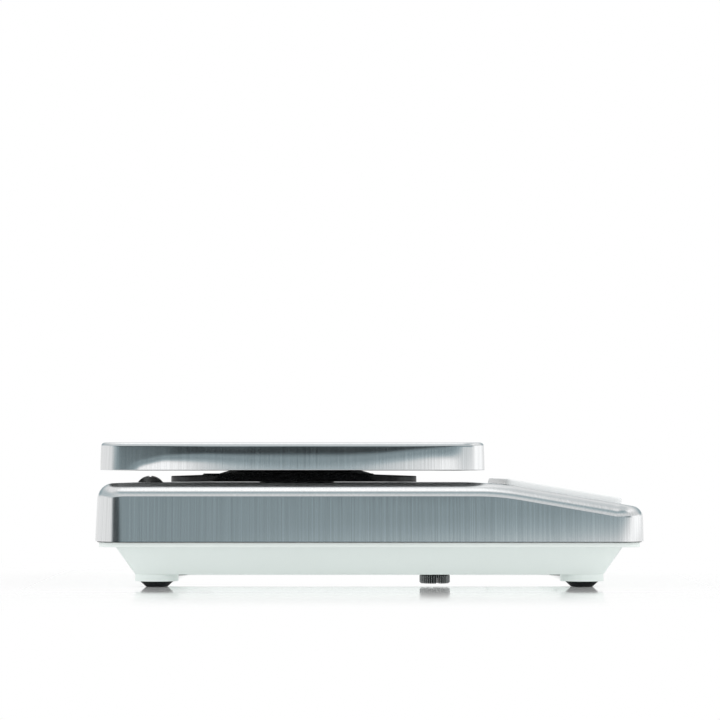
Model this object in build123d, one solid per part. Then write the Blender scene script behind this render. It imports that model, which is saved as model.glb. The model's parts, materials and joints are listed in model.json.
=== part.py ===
from build123d import *
import os
from math import atan, cos, degrees, hypot, pi, radians, sin, tan

# Compact bench scale for the kitchen, in millimetres and degrees, +Z up.
# +X is the display end. The origin is under the middle, on the surface the scale stands on.

# Cover: drawn stainless shell with a sloping front
COVER_LENGTH = 247.4
COVER_WIDTH = 176.0
COVER_HEIGHT = 26.1
COVER_WALL = 1.0
COVER_DRAFT = 2.75
COVER_CORNER_R = 13.5
COVER_EDGE_R = 7.0
SLOPE_ANGLE = 9.6
KNEE_R = 110.0
POST_HOLE_D = 44.0
SEAL_FLANGE = 5.0
SEAL_THICKNESS = 2.0
SEAL_GAP = 1.5

# Base tray: moulded base with a lip under the cover and a rim inside it
LIP_INSET = 1.7
LIP_HEIGHT = 2.5
LIP_OVERHANG = 5.9
BODY_HEIGHT = 12.8
BODY_TAPER_RUN = 9.1
BASE_CORNER_R = 10.0
BASE_EDGE_R = 1.0
BASE_WALL = 2.5
RIM_RISE = 5.0
RIM_WALL = 2.0

# Feet: rubber cones plugged into round bosses
FOOT_INSET = 10.0
FOOT_BOSS_D = 19.8
FOOT_BOSS_HEIGHT = 3.15
FOOT_PAD_HEIGHT = 2.65
FOOT_PAD_TOP_D = 15.0
FOOT_PAD_BOTTOM_D = 11.4
FOOT_STEM_D = 8.0
FOOT_STEM_HEIGHT = 2.4

# Pan: drawn stainless tray, upside down, with a locating ring welded under it
PAN_LENGTH = 173.8
PAN_DEPTH = 168.0
PAN_HEIGHT = 12.4
PAN_WALL = 1.0
PAN_DRAFT = 3.0
PAN_CORNER_R = 10.5
PAN_EDGE_R = 2.4
PAN_GAP = 5.9
LOCATOR_HEIGHT = 8.0
LOCATOR_WALL = 1.5
LOCATOR_GAP = 0.3

# Pan support: die-cast spider on a round post
POST_D = 36.0
SUPPORT_GAP = 0.5
ARM_REACH = 56.6
ARM_ANGLE = 45.0
ARM_WIDTH = 9.8
ARM_END_HEIGHT = 2.7
ARM_SLOPE = 1.5
ARM_EDGE_R = 0.5
HUB_FRONT_REACH = 40.5
HUB_REAR_REACH = 46.4
HUB_WIDTH = 90.0
HUB_HEIGHT = 3.9
HUB_DRAFT = 44.0
HUB_CORNER_R = 9.0
SHOULDER_SIDE = 72.0
SHOULDER_CORNER_R = 12.0
SHOULDER_RUN = 5.0
SHOULDER_RISE = 1.5
COLUMN_SIDE = 56.0
COLUMN_CORNER_R = 6.0
CASTING_WALL = 3.0
SUPPORT_PAD_D = 12.0
SUPPORT_PAD_HEIGHT = 2.0
SUPPORT_PAD_PLACE = 20.0
SUPPORT_SCREW_PLACE = 8.5
SUPPORT_SCREW_SEAT = 6.0

# Load cell stack
CHASSIS_THICKNESS = 2.0
CHASSIS_WIDTH = 78.0
CHASSIS_FRONT = 10.0
PEDESTAL_THICKNESS = 2.0
CELL_LENGTH = 130.0
CELL_WIDTH = 30.0
CELL_HEIGHT = 22.0
CELL_BORE_D = 14.0
CELL_BORE_SPACING = 26.0
CELL_SLOT = 4.0
CELL_HOLE_FIRST = 8.0
CELL_HOLE_SPACING = 12.0
CELL_HOLE_DEPTH = 12.0
CELL_END = 27.0
GAUGE_LENGTH = 14.0
GAUGE_WIDTH = 12.0
GAUGE_THICKNESS = 0.6
SPACER_THICKNESS = 2.0
CARRIER_THICKNESS = 3.0
CARRIER_WIDTH = 44.0
CARRIER_EAR_MARGIN = 6.0
CARRIER_EAR_DEPTH = 24.0
CARRIER_CORNER_R = 4.0
PLATFORM_TRAVEL = 0.3
STOP_GAP = 0.15
STOP_D = 5.0
STOP_SIDE = 33.0
STOP_BACK = 8.0
STOP_NUT_ACROSS = 8.0
STOP_NUT_HEIGHT = 4.0

# Transport lock screw: knurled, slotted thumb screw with its washer and brass insert
LOCK_SIDE = 50.0
LOCK_HEAD_D = 14.0
LOCK_HEAD_HEIGHT = 4.15
LOCK_HEAD_CHAMFER = 0.6
LOCK_HEAD_LIFT = 1.05
LOCK_RIDGES = 40
LOCK_RIDGE_R = 0.38
LOCK_SLOT_WIDTH = 2.1
LOCK_SLOT_DEPTH = 2.6
LOCK_SLOT_ANGLE = 13.0
LOCK_SHANK_D = 5.0
LOCK_TRAVEL = 3.0
LOCK_WASHER_D = 12.0
LOCK_WASHER_HEIGHT = 1.0
LOCK_INSERT_D = 8.0
LOCK_INSERT_HEIGHT = 6.0
LOCK_BOSS_WALL = 2.4
LOCK_POCKET_GAP = 0.6
LOCK_CEILING_GAP = 0.2

# Screws: thread diameter, head diameter and head height
COVER_SCREW = (4.0, 12.4, 3.3)
COVER_SCREW_INSET = 18.1
COVER_SCREW_LENGTH = 14.0
COVER_SCREW_RECESS = (5.4, 1.3, 1.8)
COVER_BOSS_D = 10.0
CELL_REAR_GAP = 0.8
STANDOFF_D = 8.0
STANDOFF_BACK = 7.4
STANDOFF_INSET = 10.5
STANDOFF_POST_D = 9.0
STANDOFF_POST_HEIGHT = 16.0
STANDOFF_GRIP = 8.0
FRONT_SCREW = (3.0, 5.6, 2.4)
FRONT_SCREW_SEAT = 3.2
CELL_SCREW = (6.0, 10.0, 2.3)
CARRIER_SCREW = (6.0, 10.0, 3.0)
SUPPORT_SCREW = (4.0, 7.0, 4.0)
CHASSIS_SCREW = (3.0, 5.6, 1.1)
CHASSIS_SCREW_INSET = 6.0
BOARD_SCREW = (2.5, 4.6, 1.8)
BOARD_SCREW_GRIP = 5.0
DRIVE_WIDTH = 0.9
DRIVE_SHARE = 0.6

# Control panel on the slope, with its window and keys
PANEL_SIDE_INSET = 11.0
PANEL_RISE = 2.7
PANEL_CORNER_R = 5.0
PANEL_EDGE_R = 0.7
PANEL_FRONT_INSET = 9.8
PANEL_BACK_INSET = 3.65
PANEL_MARGIN = 0.6
PANEL_ROW_GAP = 3.3
PANEL_FLANGE = 5.0
PLUG_DEPTH = 4.0
PLUG_WALL = 2.0
PLUG_GAP = 0.3
CLIP_LENGTH = 8.0
CLIP_HEIGHT = 1.2
CLIP_CATCH = 1.0
CLIP_PLACE = 40.0
WINDOW_WIDTH = 78.0
WINDOW_LENGTH = 24.0
WINDOW_THICKNESS = 1.0
WINDOW_LEDGE = 3.0
WINDOW_CORNER_R = 2.0
LCD_WIDTH = 72.0
LCD_LENGTH = 20.0
LCD_THICKNESS = 2.8
LCD_DEPTH = 0.3
HOLDER_WALL = 1.5
KEY_WIDTH = 22.0
KEY_LENGTH = 9.0
KEY_CORNER_R = 2.5
KEY_END_GAP = 2.55
KEY_RECESS = 0.1
KEY_TRAVEL = 0.6
KEY_GAP = 0.25
KEY_FLANGE = 0.7
KEY_FLANGE_HEIGHT = 1.0
KEY_STEM_D = 4.0
KEY_NAMES = ("power", "tare", "unit", "hold")

# Electronics under the panel
BOARD_DEPTH = 9.0
BOARD_THICKNESS = 1.6
BOARD_EDGE_GAP = 3.1
BOARD_SIDE_INSET = 11.0
BOARD_CORNER_R = 2.0
BOARD_HOLE_INSET = 3.5
BOARD_POST_D = 6.0
SWITCH_SIDE = 6.0
SWITCH_HEIGHT = 3.5
PLUNGER_D = 3.4
PLUNGER_RISE = 1.5
PLUNGER_GRIP = 2.7
CHIP_SIDE = 12.0
CHIP_HEIGHT = 1.8
CHIP_PLACE = (4.0, -52.0)
CAPACITOR_D = 6.3
CAPACITOR_HEIGHT = 5.6
CAPACITOR_PLACES = ((9.0, -9.0), (9.0, -18.0))
CRYSTAL_SIZE = (4.0, 11.0, 3.5)
CRYSTAL_PLACE = (4.0, -36.0)
CONNECTOR_SIZE = (8.0, 12.0, 6.5)
CONNECTOR_PLACE = (-7.0, -25.0)

# Load cell cable and its clips
CABLE_D = 3.0
CABLE_EXIT_BACK = 40.0
CABLE_EXIT_LIFT = 5.0
CABLE_SIDE = 25.0
CABLE_RAMP = 20.0
CABLE_LIFT = 1.2
CABLE_RUN_END = 5.5
CABLE_APPROACH = 14.0
BEND_SHARE = 0.45
CLIP_SIZE = (6.0, 8.0, 5.4)
CLIP_PLACES = (-35.0, 5.0)

# Battery, its clip, leads and door
BATTERY_BODY = (26.5, 46.4, 17.5)
BATTERY_EDGE_R = 2.0
BATTERY_ROOM_SHARE = 0.65
BATTERY_SIDE = 1.0
BATTERY_LIFT = 0.2
TERMINAL_HEIGHT = 2.1
TERMINAL_PITCH = 12.7
TERMINAL_STUD_D = 5.6
TERMINAL_SOCKET_D = 7.8
SNAP_CAP_HEIGHT = 4.4
SNAP_CAP_INSET = 0.8
BAY_GAP = 1.2
BAY_WALL = 1.6
BAY_HEIGHT = 12.0
LEAD_D = 1.2
LEAD_PITCH = 4.0
LEAD_OUT = 9.0
LEAD_END_GAP = 0.4
DOOR_THICKNESS = 2.0
DOOR_GAP = 0.4
DOOR_RIB = 1.2
DOOR_RIB_INSET = 14.0
HINGE_R = 1.8
HINGE_PIN_R = 1.1
HINGE_PIN_LENGTH = 2.4
HINGE_BACK = 3.4
HINGE_EAR_REACH = 3.4
FINGER_NOTCH = (2.0, 14.0, 0.8)

# Clearances
THREAD_PLAY = 0.05
PASS_PLAY = 0.25
SEAT_GAP = 0.1
HEAD_PLAY = 0.5

# Heights, from the feet up
base_z = FOOT_PAD_HEIGHT + FOOT_BOSS_HEIGHT
floor_z = base_z + BASE_WALL
lip_z = base_z + BODY_HEIGHT
rim_z = lip_z + LIP_HEIGHT
cover_top_z = rim_z + COVER_HEIGHT
cover_under_z = cover_top_z - COVER_WALL
arm_z = cover_top_z + SUPPORT_GAP
hub_z = arm_z + HUB_HEIGHT
shoulder_z = hub_z + SHOULDER_RISE
pan_rim_z = cover_top_z + PAN_GAP
pan_top_z = pan_rim_z + PAN_HEIGHT
pan_under_z = pan_top_z - PAN_WALL
column_top_z = pan_under_z - SUPPORT_PAD_HEIGHT
chassis_top_z = floor_z + CHASSIS_THICKNESS
cell_z = chassis_top_z + PEDESTAL_THICKNESS
cell_top_z = cell_z + CELL_HEIGHT
carrier_z = cell_top_z + SPACER_THICKNESS
carrier_top_z = carrier_z + CARRIER_THICKNESS
support_seat_z = carrier_top_z + SUPPORT_SCREW_SEAT

# Places in plan
half_length = COVER_LENGTH / 2
half_width = COVER_WIDTH / 2
lip_half_x = half_length - LIP_INSET
lip_half_y = half_width - LIP_INSET
body_half_x = lip_half_x - LIP_OVERHANG - BODY_TAPER_RUN
body_half_y = lip_half_y - LIP_OVERHANG - BODY_TAPER_RUN
body_draft = degrees(atan(BODY_TAPER_RUN / BODY_HEIGHT))
body_wall_run = BASE_WALL / cos(radians(body_draft))
foot_x = body_half_x - FOOT_INSET
foot_y = body_half_y - FOOT_INSET
cover_screw_x = COVER_SCREW_INSET - half_length
cell_rear_x = cover_screw_x + COVER_BOSS_D / 2 + CELL_REAR_GAP
cell_front_x = cell_rear_x + CELL_LENGTH
pan_x = (cell_rear_x + cell_front_x) / 2
lock_x = cell_front_x
lock_y = -LOCK_SIDE
stop_x = lock_x - STOP_BACK
chassis_front_x = lock_x + CHASSIS_FRONT
rear_holes = [cell_rear_x + CELL_HOLE_FIRST + i * CELL_HOLE_SPACING for i in range(2)]
front_holes = [cell_front_x - CELL_HOLE_FIRST - i * CELL_HOLE_SPACING for i in range(2)]
chassis_holes = [
    (x, side * (CHASSIS_WIDTH / 2 - CHASSIS_SCREW_INSET))
    for x in (cell_rear_x + CHASSIS_SCREW_INSET, chassis_front_x - CHASSIS_SCREW_INSET)
    for side in (-1, 1)
]
support_holes = [
    (pan_x + sx * SUPPORT_SCREW_PLACE, sy * SUPPORT_SCREW_PLACE) for sx in (-1, 1) for sy in (-1, 1)
]
stop_places = [(stop_x, side * STOP_SIDE) for side in (-1, 1)]

# Lock screw heights
lock_head_top_z = LOCK_HEAD_LIFT + LOCK_HEAD_HEIGHT
lock_ceiling_z = lock_head_top_z + LOCK_WASHER_HEIGHT + LOCK_TRAVEL + LOCK_CEILING_GAP
lock_insert_top_z = lock_ceiling_z + LOCK_INSERT_HEIGHT
lock_tip_z = carrier_z - PLATFORM_TRAVEL - LOCK_CEILING_GAP - LOCK_TRAVEL
lock_pocket_r = LOCK_HEAD_D / 2 + LOCK_POCKET_GAP
lock_boss_d = 2 * (lock_pocket_r + LOCK_BOSS_WALL)

# The panel holds the display behind and the keys in front, and the slope holds the panel
plug_rim = PLUG_GAP + PLUG_WALL + PANEL_MARGIN
holder_length = LCD_LENGTH + 2 * (SEAT_GAP + HOLDER_WALL)
key_seat = KEY_GAP + KEY_FLANGE
opening_length = 2 * plug_rim + holder_length + PANEL_ROW_GAP + KEY_LENGTH + 2 * key_seat
panel_length = opening_length + 2 * PANEL_FLANGE
panel_width = COVER_WIDTH - 2 * PANEL_SIDE_INSET
opening_width = panel_width - 2 * PANEL_FLANGE
window_u = plug_rim + holder_length / 2 - opening_length / 2
key_u = opening_length / 2 - plug_rim - key_seat - KEY_LENGTH / 2

# The panel's own plane: x runs down the slope, z stands square to it
slope = radians(SLOPE_ANGLE)
knee_x = half_length - PANEL_FRONT_INSET - panel_length * cos(slope) - PANEL_BACK_INSET
panel_x = half_length - PANEL_FRONT_INSET - panel_length / 2 * cos(slope)
standoff_y = body_half_y - STANDOFF_INSET
standoff_places = [(knee_x - STANDOFF_BACK, side * standoff_y) for side in (-1, 1)]
panel_plane = Plane(
    origin=(panel_x, 0, cover_top_z - (panel_x - knee_x) * tan(slope)),
    x_dir=(cos(slope), 0, -sin(slope)),
    z_dir=(sin(slope), 0, cos(slope)),
)
board_top = -BOARD_DEPTH
board_under = board_top - BOARD_THICKNESS
switch_top = board_top + SWITCH_HEIGHT
plunger_top = switch_top + PLUNGER_RISE
board_length = opening_length - 2 * BOARD_EDGE_GAP
board_width = panel_width - 2 * BOARD_SIDE_INSET
board_hole_u = board_length / 2 - BOARD_HOLE_INSET
board_hole_v = board_width / 2 - BOARD_HOLE_INSET
board_holes = [(su * board_hole_u, sv * board_hole_v) for su in (-1, 1) for sv in (-1, 1)]
key_reach = board_hole_v - BOARD_POST_D / 2 - KEY_END_GAP - key_seat - KEY_WIDTH / 2
key_places = [key_reach * (2 * i / (len(KEY_NAMES) - 1) - 1) for i in range(len(KEY_NAMES))]

# The battery bay shares the free floor between the chassis plate and the front wall
battery_z = floor_z + BATTERY_LIFT
battery_mid_z = battery_z + BATTERY_BODY[2] / 2
bay_half_x = BATTERY_BODY[0] / 2 + BAY_GAP
bay_rear_reach = bay_half_x + HINGE_BACK + HINGE_EAR_REACH
bay_front_reach = bay_half_x + BAY_WALL
front_wall_x = body_half_x - body_wall_run
bay_room = front_wall_x - chassis_front_x - bay_rear_reach - bay_front_reach
battery_x = chassis_front_x + bay_room * BATTERY_ROOM_SHARE + bay_rear_reach
bay_low_y = BATTERY_SIDE - SNAP_CAP_HEIGHT - BAY_GAP
bay_high_y = BATTERY_SIDE + BATTERY_BODY[1] + BAY_GAP
hinge_x = battery_x - bay_half_x - HINGE_BACK
hinge_z = base_z + HINGE_R

ON_BASE = (Align.CENTER, Align.CENTER, Align.MIN)
CROWN_ANGLE = 26.0
QUARTER_ANGLE = 90.0


def rod(diameter, x, y, z_low, z_high):
    """Upright round bar between two heights."""
    return Pos(x, y, z_low) * Cylinder(diameter / 2, z_high - z_low, align=ON_BASE)


def slab(x_low, x_high, y_low, y_high, z_low, z_high):
    """Square-cornered block between its six faces."""
    middle = Pos((x_low + x_high) / 2, (y_low + y_high) / 2, z_low)
    return middle * Box(x_high - x_low, y_high - y_low, z_high - z_low, align=ON_BASE)


def rounded_block(size_x, size_y, z_low, z_high, corner, draft=0.0, x=0.0, y=0.0):
    """Block with rounded upright corners, drawn in by the draft as it rises."""
    outline = Pos(x, y, z_low) * RectangleRounded(size_x, size_y, corner)
    return extrude(outline, z_high - z_low, taper=draft)


def group(pieces):
    """Several separate solids kept as one node."""
    return Compound([solid for piece in pieces for solid in piece.solids()])


def crown_edges(block):
    """Edges round the upward faces, without those between two of them."""
    tops = [face for face in block.faces() if face.normal_at().Z > cos(radians(CROWN_ANGLE))]
    edges = [edge for face in tops for edge in face.edges()]
    return [edge for edge in edges if sum(edge.is_same(other) for other in edges) == 1]


def on_panel(piece):
    """Carry a piece drawn on the flat to its place on the slope."""
    return panel_plane.location * piece


def panel_point(u, v, w):
    """Point of the panel's plane, in the scale's own frame."""
    return panel_plane.from_local_coords(Vector(u, v, w))


def screw(x, y, seat_z, sizes, length, down=True, slots=1):
    """Round-headed screw with a driver slot or cross, its head seated at one height."""
    thread, head, head_height = sizes
    way = -1 if down else 1
    shank = rod(thread, x, y, min(seat_z, seat_z + way * length), max(seat_z, seat_z + way * length))
    crown_z = seat_z - way * head_height
    body = shank + rod(head, x, y, min(seat_z, crown_z), max(seat_z, crown_z))
    drive_depth = head_height * DRIVE_SHARE
    for turn in range(slots):
        bit = Box(head * DRIVE_SHARE, DRIVE_WIDTH, 2 * drive_depth)
        body -= Pos(x, y, crown_z) * Rot(0, 0, turn * QUARTER_ANGLE) * bit
    return body


def cover_form(inset):
    """Outside of the cover, or the form one inset further in: a drafted block cut by the slope."""
    top_z = cover_top_z - inset
    form = rounded_block(
        COVER_LENGTH - 2 * inset, COVER_WIDTH - 2 * inset, rim_z, top_z, COVER_CORNER_R - inset, COVER_DRAFT
    )
    cut_plane = Plane(
        origin=(knee_x - inset * tan(slope / 2), 0, top_z), x_dir=panel_plane.x_dir, z_dir=panel_plane.z_dir
    )
    form -= cut_plane.location * Box(COVER_LENGTH, 2 * COVER_WIDTH, COVER_HEIGHT, align=ON_BASE)
    knee = form.edges().filter_by(Axis.Y).sort_by_distance((knee_x, 0, top_z))[0]
    form = fillet(knee, KNEE_R - inset)
    return fillet(crown_edges(form), COVER_EDGE_R - inset)


def top_cover():
    cover = cover_form(0) - cover_form(COVER_WALL)
    cover -= rod(POST_HOLE_D, pan_x, 0, cover_under_z - COVER_WALL, cover_top_z + COVER_WALL)
    cover -= rod(
        COVER_SCREW[0] + 2 * PASS_PLAY, cover_screw_x, 0, cover_under_z - COVER_WALL, cover_top_z + COVER_WALL
    )
    opening = rounded_block(opening_length, opening_width, -PLUG_DEPTH, PLUG_DEPTH, PANEL_CORNER_R)
    return cover - on_panel(opening)


def cover_standoffs():
    """Round studs welded under the cover, tapped for the front screws."""
    room = cover_form(COVER_WALL)
    studs = []
    for x, y in standoff_places:
        foot_end_z = floor_z + STANDOFF_POST_HEIGHT
        stud = rod(STANDOFF_D, x, y, foot_end_z, cover_top_z) & room
        tap_top_z = foot_end_z + STANDOFF_GRIP + SEAT_GAP
        studs.append(stud - rod(FRONT_SCREW[0] + 2 * THREAD_PLAY, x, y, foot_end_z, tap_top_z))
    return group(studs)


def front_cover_screws():
    seat_z = base_z + FRONT_SCREW_SEAT
    length = floor_z + STANDOFF_POST_HEIGHT + STANDOFF_GRIP - seat_z
    return group([screw(x, y, seat_z, FRONT_SCREW, length, down=False, slots=2) for x, y in standoff_places])


def cover_screw():
    """Domed screw with a cross recess: a ball's cap on a plain shank."""
    thread, head, head_height = COVER_SCREW
    ball_r = ((head / 2) ** 2 + head_height**2) / (2 * head_height)
    ball = Pos(cover_screw_x, 0, cover_top_z + head_height - ball_r) * Sphere(ball_r)
    body = ball & rod(head, cover_screw_x, 0, cover_top_z, cover_top_z + head_height)
    body += rod(thread, cover_screw_x, 0, cover_top_z - COVER_SCREW_LENGTH, cover_top_z)
    bit_length, bit_width, bit_depth = COVER_SCREW_RECESS
    for turn in (0, QUARTER_ANGLE):
        bit = Rot(0, 0, turn) * Box(bit_length, bit_width, 2 * bit_depth)
        body -= Pos(cover_screw_x, 0, cover_top_z + head_height) * bit
    return body


def post_seal():
    """Rubber ring under the cover, with a lip that stands in the post's hole."""
    low_z = cover_under_z - SEAL_THICKNESS
    ring = rod(POST_HOLE_D + 2 * SEAL_FLANGE, pan_x, 0, low_z, cover_under_z)
    ring += rod(POST_HOLE_D - 2 * PASS_PLAY, pan_x, 0, cover_under_z, cover_top_z - PASS_PLAY)
    return ring - rod(POST_D + 2 * SEAL_GAP, pan_x, 0, low_z, cover_top_z)


def tray_shell():
    """Tapered tub, its lip, and the rim that stands inside the cover."""
    lip_corner = COVER_CORNER_R - LIP_INSET
    tub = rounded_block(2 * body_half_x, 2 * body_half_y, base_z, lip_z, BASE_CORNER_R, -body_draft)
    tub = fillet(tub.faces().sort_by(Axis.Z)[0].edges(), BASE_EDGE_R)
    tub += rounded_block(2 * lip_half_x, 2 * lip_half_y, lip_z, rim_z, lip_corner)
    tub += rounded_block(2 * lip_half_x, 2 * lip_half_y, rim_z, rim_z + RIM_RISE, lip_corner, COVER_DRAFT)
    floor_run = BASE_WALL * tan(radians(body_draft)) - body_wall_run
    tub -= rounded_block(
        2 * (body_half_x + floor_run), 2 * (body_half_y + floor_run), floor_z, rim_z,
        BASE_CORNER_R, -body_draft,
    )
    inner_x = lip_half_x - RIM_WALL
    inner_y = lip_half_y - RIM_WALL
    return tub - rounded_block(
        2 * inner_x, 2 * inner_y, rim_z, rim_z + RIM_RISE, lip_corner - RIM_WALL, COVER_DRAFT
    )


def rear_boss():
    """Tall boss for the cover screw, cut to the tub's slanting wall where it stands on it."""
    tub = rounded_block(2 * body_half_x, 2 * body_half_y, base_z, lip_z, BASE_CORNER_R, -body_draft)
    boss = (rod(COVER_BOSS_D, cover_screw_x, 0, floor_z, lip_z) & tub) + rod(
        COVER_BOSS_D, cover_screw_x, 0, lip_z, cover_under_z
    )
    hole_z = cover_top_z - COVER_SCREW_LENGTH - SEAT_GAP
    return boss, rod(COVER_SCREW[0] + 2 * THREAD_PLAY, cover_screw_x, 0, hole_z, cover_under_z)


def battery_bay():
    """Low walls round the battery, with the ears that hold the door's pins, and the door's opening."""
    walls = slab(
        battery_x - bay_half_x - BAY_WALL, battery_x + bay_half_x + BAY_WALL,
        bay_low_y - BAY_WALL, bay_high_y + BAY_WALL, floor_z, floor_z + BAY_HEIGHT,
    )
    walls -= slab(
        battery_x - bay_half_x, battery_x + bay_half_x, bay_low_y, bay_high_y, floor_z, floor_z + BAY_HEIGHT
    )
    for y_low in (bay_low_y - HINGE_EAR_REACH, bay_high_y):
        walls += slab(
            hinge_x - HINGE_EAR_REACH, battery_x - bay_half_x, y_low, y_low + HINGE_EAR_REACH,
            floor_z, hinge_z + HINGE_EAR_REACH,
        )
    notch_half = LEAD_PITCH / 2 + LEAD_D
    walls -= slab(
        battery_x - notch_half, battery_x + notch_half, bay_low_y - BAY_WALL, bay_low_y,
        battery_mid_z - LEAD_D, floor_z + BAY_HEIGHT,
    )
    opening = slab(
        hinge_x - HINGE_R - DOOR_GAP, battery_x + bay_half_x, bay_low_y, bay_high_y, base_z, floor_z + HINGE_R
    )
    pin_length = bay_high_y - bay_low_y + 2 * (HINGE_PIN_LENGTH + SEAT_GAP)
    pin = Cylinder(HINGE_PIN_R + THREAD_PLAY, pin_length)
    opening += Pos(hinge_x, (bay_low_y + bay_high_y) / 2, hinge_z) * Rot(QUARTER_ANGLE, 0, 0) * pin
    return walls, opening


def base_tray():
    tray = tray_shell()
    boss, boss_hole = rear_boss()
    tray += boss
    for x, y in standoff_places:
        tray += rod(STANDOFF_POST_D, x, y, floor_z, floor_z + STANDOFF_POST_HEIGHT)
    tray += rod(lock_boss_d, lock_x, lock_y, base_z, lock_insert_top_z)
    for sx in (-1, 1):
        for sy in (-1, 1):
            tray += rod(FOOT_BOSS_D, sx * foot_x, sy * foot_y, FOOT_PAD_HEIGHT, floor_z)
    walls, door_opening = battery_bay()
    tray += walls
    tray -= door_opening
    tray -= boss_hole
    for sx in (-1, 1):
        for sy in (-1, 1):
            stem_top = FOOT_PAD_HEIGHT + FOOT_STEM_HEIGHT + SEAT_GAP
            tray -= rod(FOOT_STEM_D + 2 * THREAD_PLAY, sx * foot_x, sy * foot_y, FOOT_PAD_HEIGHT, stem_top)
    for x, y in standoff_places:
        tray -= rod(FRONT_SCREW[0] + 2 * PASS_PLAY, x, y, base_z, floor_z + STANDOFF_POST_HEIGHT)
        tray -= rod(FRONT_SCREW[1] + 2 * HEAD_PLAY, x, y, base_z, base_z + FRONT_SCREW_SEAT)
    for x, y in chassis_holes:
        tray -= rod(CHASSIS_SCREW[0] + 2 * PASS_PLAY, x, y, base_z, floor_z)
        tray -= rod(CHASSIS_SCREW[1] + 2 * HEAD_PLAY, x, y, base_z, base_z + CHASSIS_SCREW[2])
    for x in rear_holes:
        tray -= rod(CELL_SCREW[1] + 2 * HEAD_PLAY, x, 0, base_z, floor_z)
    tray -= rod(2 * lock_pocket_r, lock_x, lock_y, base_z, lock_ceiling_z)
    return tray - rod(LOCK_INSERT_D + 2 * THREAD_PLAY, lock_x, lock_y, lock_ceiling_z, lock_insert_top_z)


def foot_pad(side_x, side_y):
    """Rubber cone with a stem plugged into the foot boss."""
    x = side_x * foot_x
    y = side_y * foot_y
    cone = Pos(x, y, 0) * Cone(FOOT_PAD_BOTTOM_D / 2, FOOT_PAD_TOP_D / 2, FOOT_PAD_HEIGHT, align=ON_BASE)
    return cone + rod(FOOT_STEM_D, x, y, FOOT_PAD_HEIGHT, FOOT_PAD_HEIGHT + FOOT_STEM_HEIGHT)


def pan_form(inset):
    length = PAN_LENGTH - 2 * inset
    depth = PAN_DEPTH - 2 * inset
    form = rounded_block(
        length, depth, pan_rim_z, pan_top_z - inset, PAN_CORNER_R - inset, PAN_DRAFT, x=pan_x
    )
    return fillet(crown_edges(form), PAN_EDGE_R - inset)


def weighing_pan():
    return pan_form(0) - pan_form(PAN_WALL)


def pan_locator():
    """Square ring under the pan that drops over the support's column."""
    inner = COLUMN_SIDE + 2 * LOCATOR_GAP
    corner = COLUMN_CORNER_R + LOCATOR_GAP
    low_z = pan_under_z - LOCATOR_HEIGHT
    outer = inner + 2 * LOCATOR_WALL
    ring = rounded_block(outer, outer, low_z, pan_under_z, corner + LOCATOR_WALL, x=pan_x)
    return ring - rounded_block(inner, inner, low_z, pan_under_z, corner, x=pan_x)


def support_arm(turn):
    """Diagonal arm with a rounded end, its top rising towards the hub."""
    end_r = ARM_WIDTH / 2
    run = (ARM_REACH - end_r) * hypot(1, 1)
    reach = run + end_r
    end_z = arm_z + ARM_END_HEIGHT
    root_z = end_z + reach * tan(radians(ARM_SLOPE))
    arm = slab(0, run, -end_r, end_r, arm_z, root_z) + rod(ARM_WIDTH, run, 0, arm_z, root_z)
    side = Polygon((0, arm_z), (reach, arm_z), (reach, end_z), (0, root_z), align=None)
    arm &= extrude(Plane.XZ * side, ARM_WIDTH, both=True)
    arm = fillet(arm.faces().sort_by(Axis.Z)[-1].edges(), ARM_EDGE_R)
    return Pos(pan_x, 0, 0) * Rot(0, 0, turn) * arm


def pan_support():
    """Spider casting: arms, a drafted hub with a shoulder, a hollow column and the post below."""
    hub_length = HUB_FRONT_REACH + HUB_REAR_REACH
    hub_x = pan_x + (HUB_FRONT_REACH - HUB_REAR_REACH) / 2
    shoulder_draft = degrees(atan(SHOULDER_RUN / SHOULDER_RISE))
    inner_side = COLUMN_SIDE - 2 * CASTING_WALL
    casting = rounded_block(hub_length, HUB_WIDTH, arm_z, hub_z, HUB_CORNER_R, HUB_DRAFT, x=hub_x)
    casting += rounded_block(
        SHOULDER_SIDE, SHOULDER_SIDE, hub_z, shoulder_z, SHOULDER_CORNER_R, shoulder_draft, x=pan_x
    )
    casting += rounded_block(COLUMN_SIDE, COLUMN_SIDE, shoulder_z, column_top_z, COLUMN_CORNER_R, x=pan_x)
    for quarter in range(4):
        casting += support_arm(ARM_ANGLE + quarter * QUARTER_ANGLE)
    casting -= rounded_block(
        inner_side, inner_side, arm_z, column_top_z - CASTING_WALL, COLUMN_CORNER_R - CASTING_WALL, x=pan_x
    )
    casting += rod(POST_D, pan_x, 0, carrier_top_z, column_top_z)
    for x, y in support_holes:
        casting -= rod(SUPPORT_SCREW[0] + 2 * PASS_PLAY, x, y, carrier_top_z, column_top_z)
        casting -= rod(SUPPORT_SCREW[1] + 2 * HEAD_PLAY, x, y, support_seat_z, column_top_z)
    return casting


def support_pads():
    """Rubber discs between the column and the pan."""
    return group([
        rod(SUPPORT_PAD_D, pan_x + sx * SUPPORT_PAD_PLACE, sy * SUPPORT_PAD_PLACE, column_top_z, pan_under_z)
        for sx in (-1, 1)
        for sy in (-1, 1)
    ])


def support_screws():
    length = SUPPORT_SCREW_SEAT + CARRIER_THICKNESS - SEAT_GAP
    return group([screw(x, y, support_seat_z, SUPPORT_SCREW, length, slots=2) for x, y in support_holes])


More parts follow.
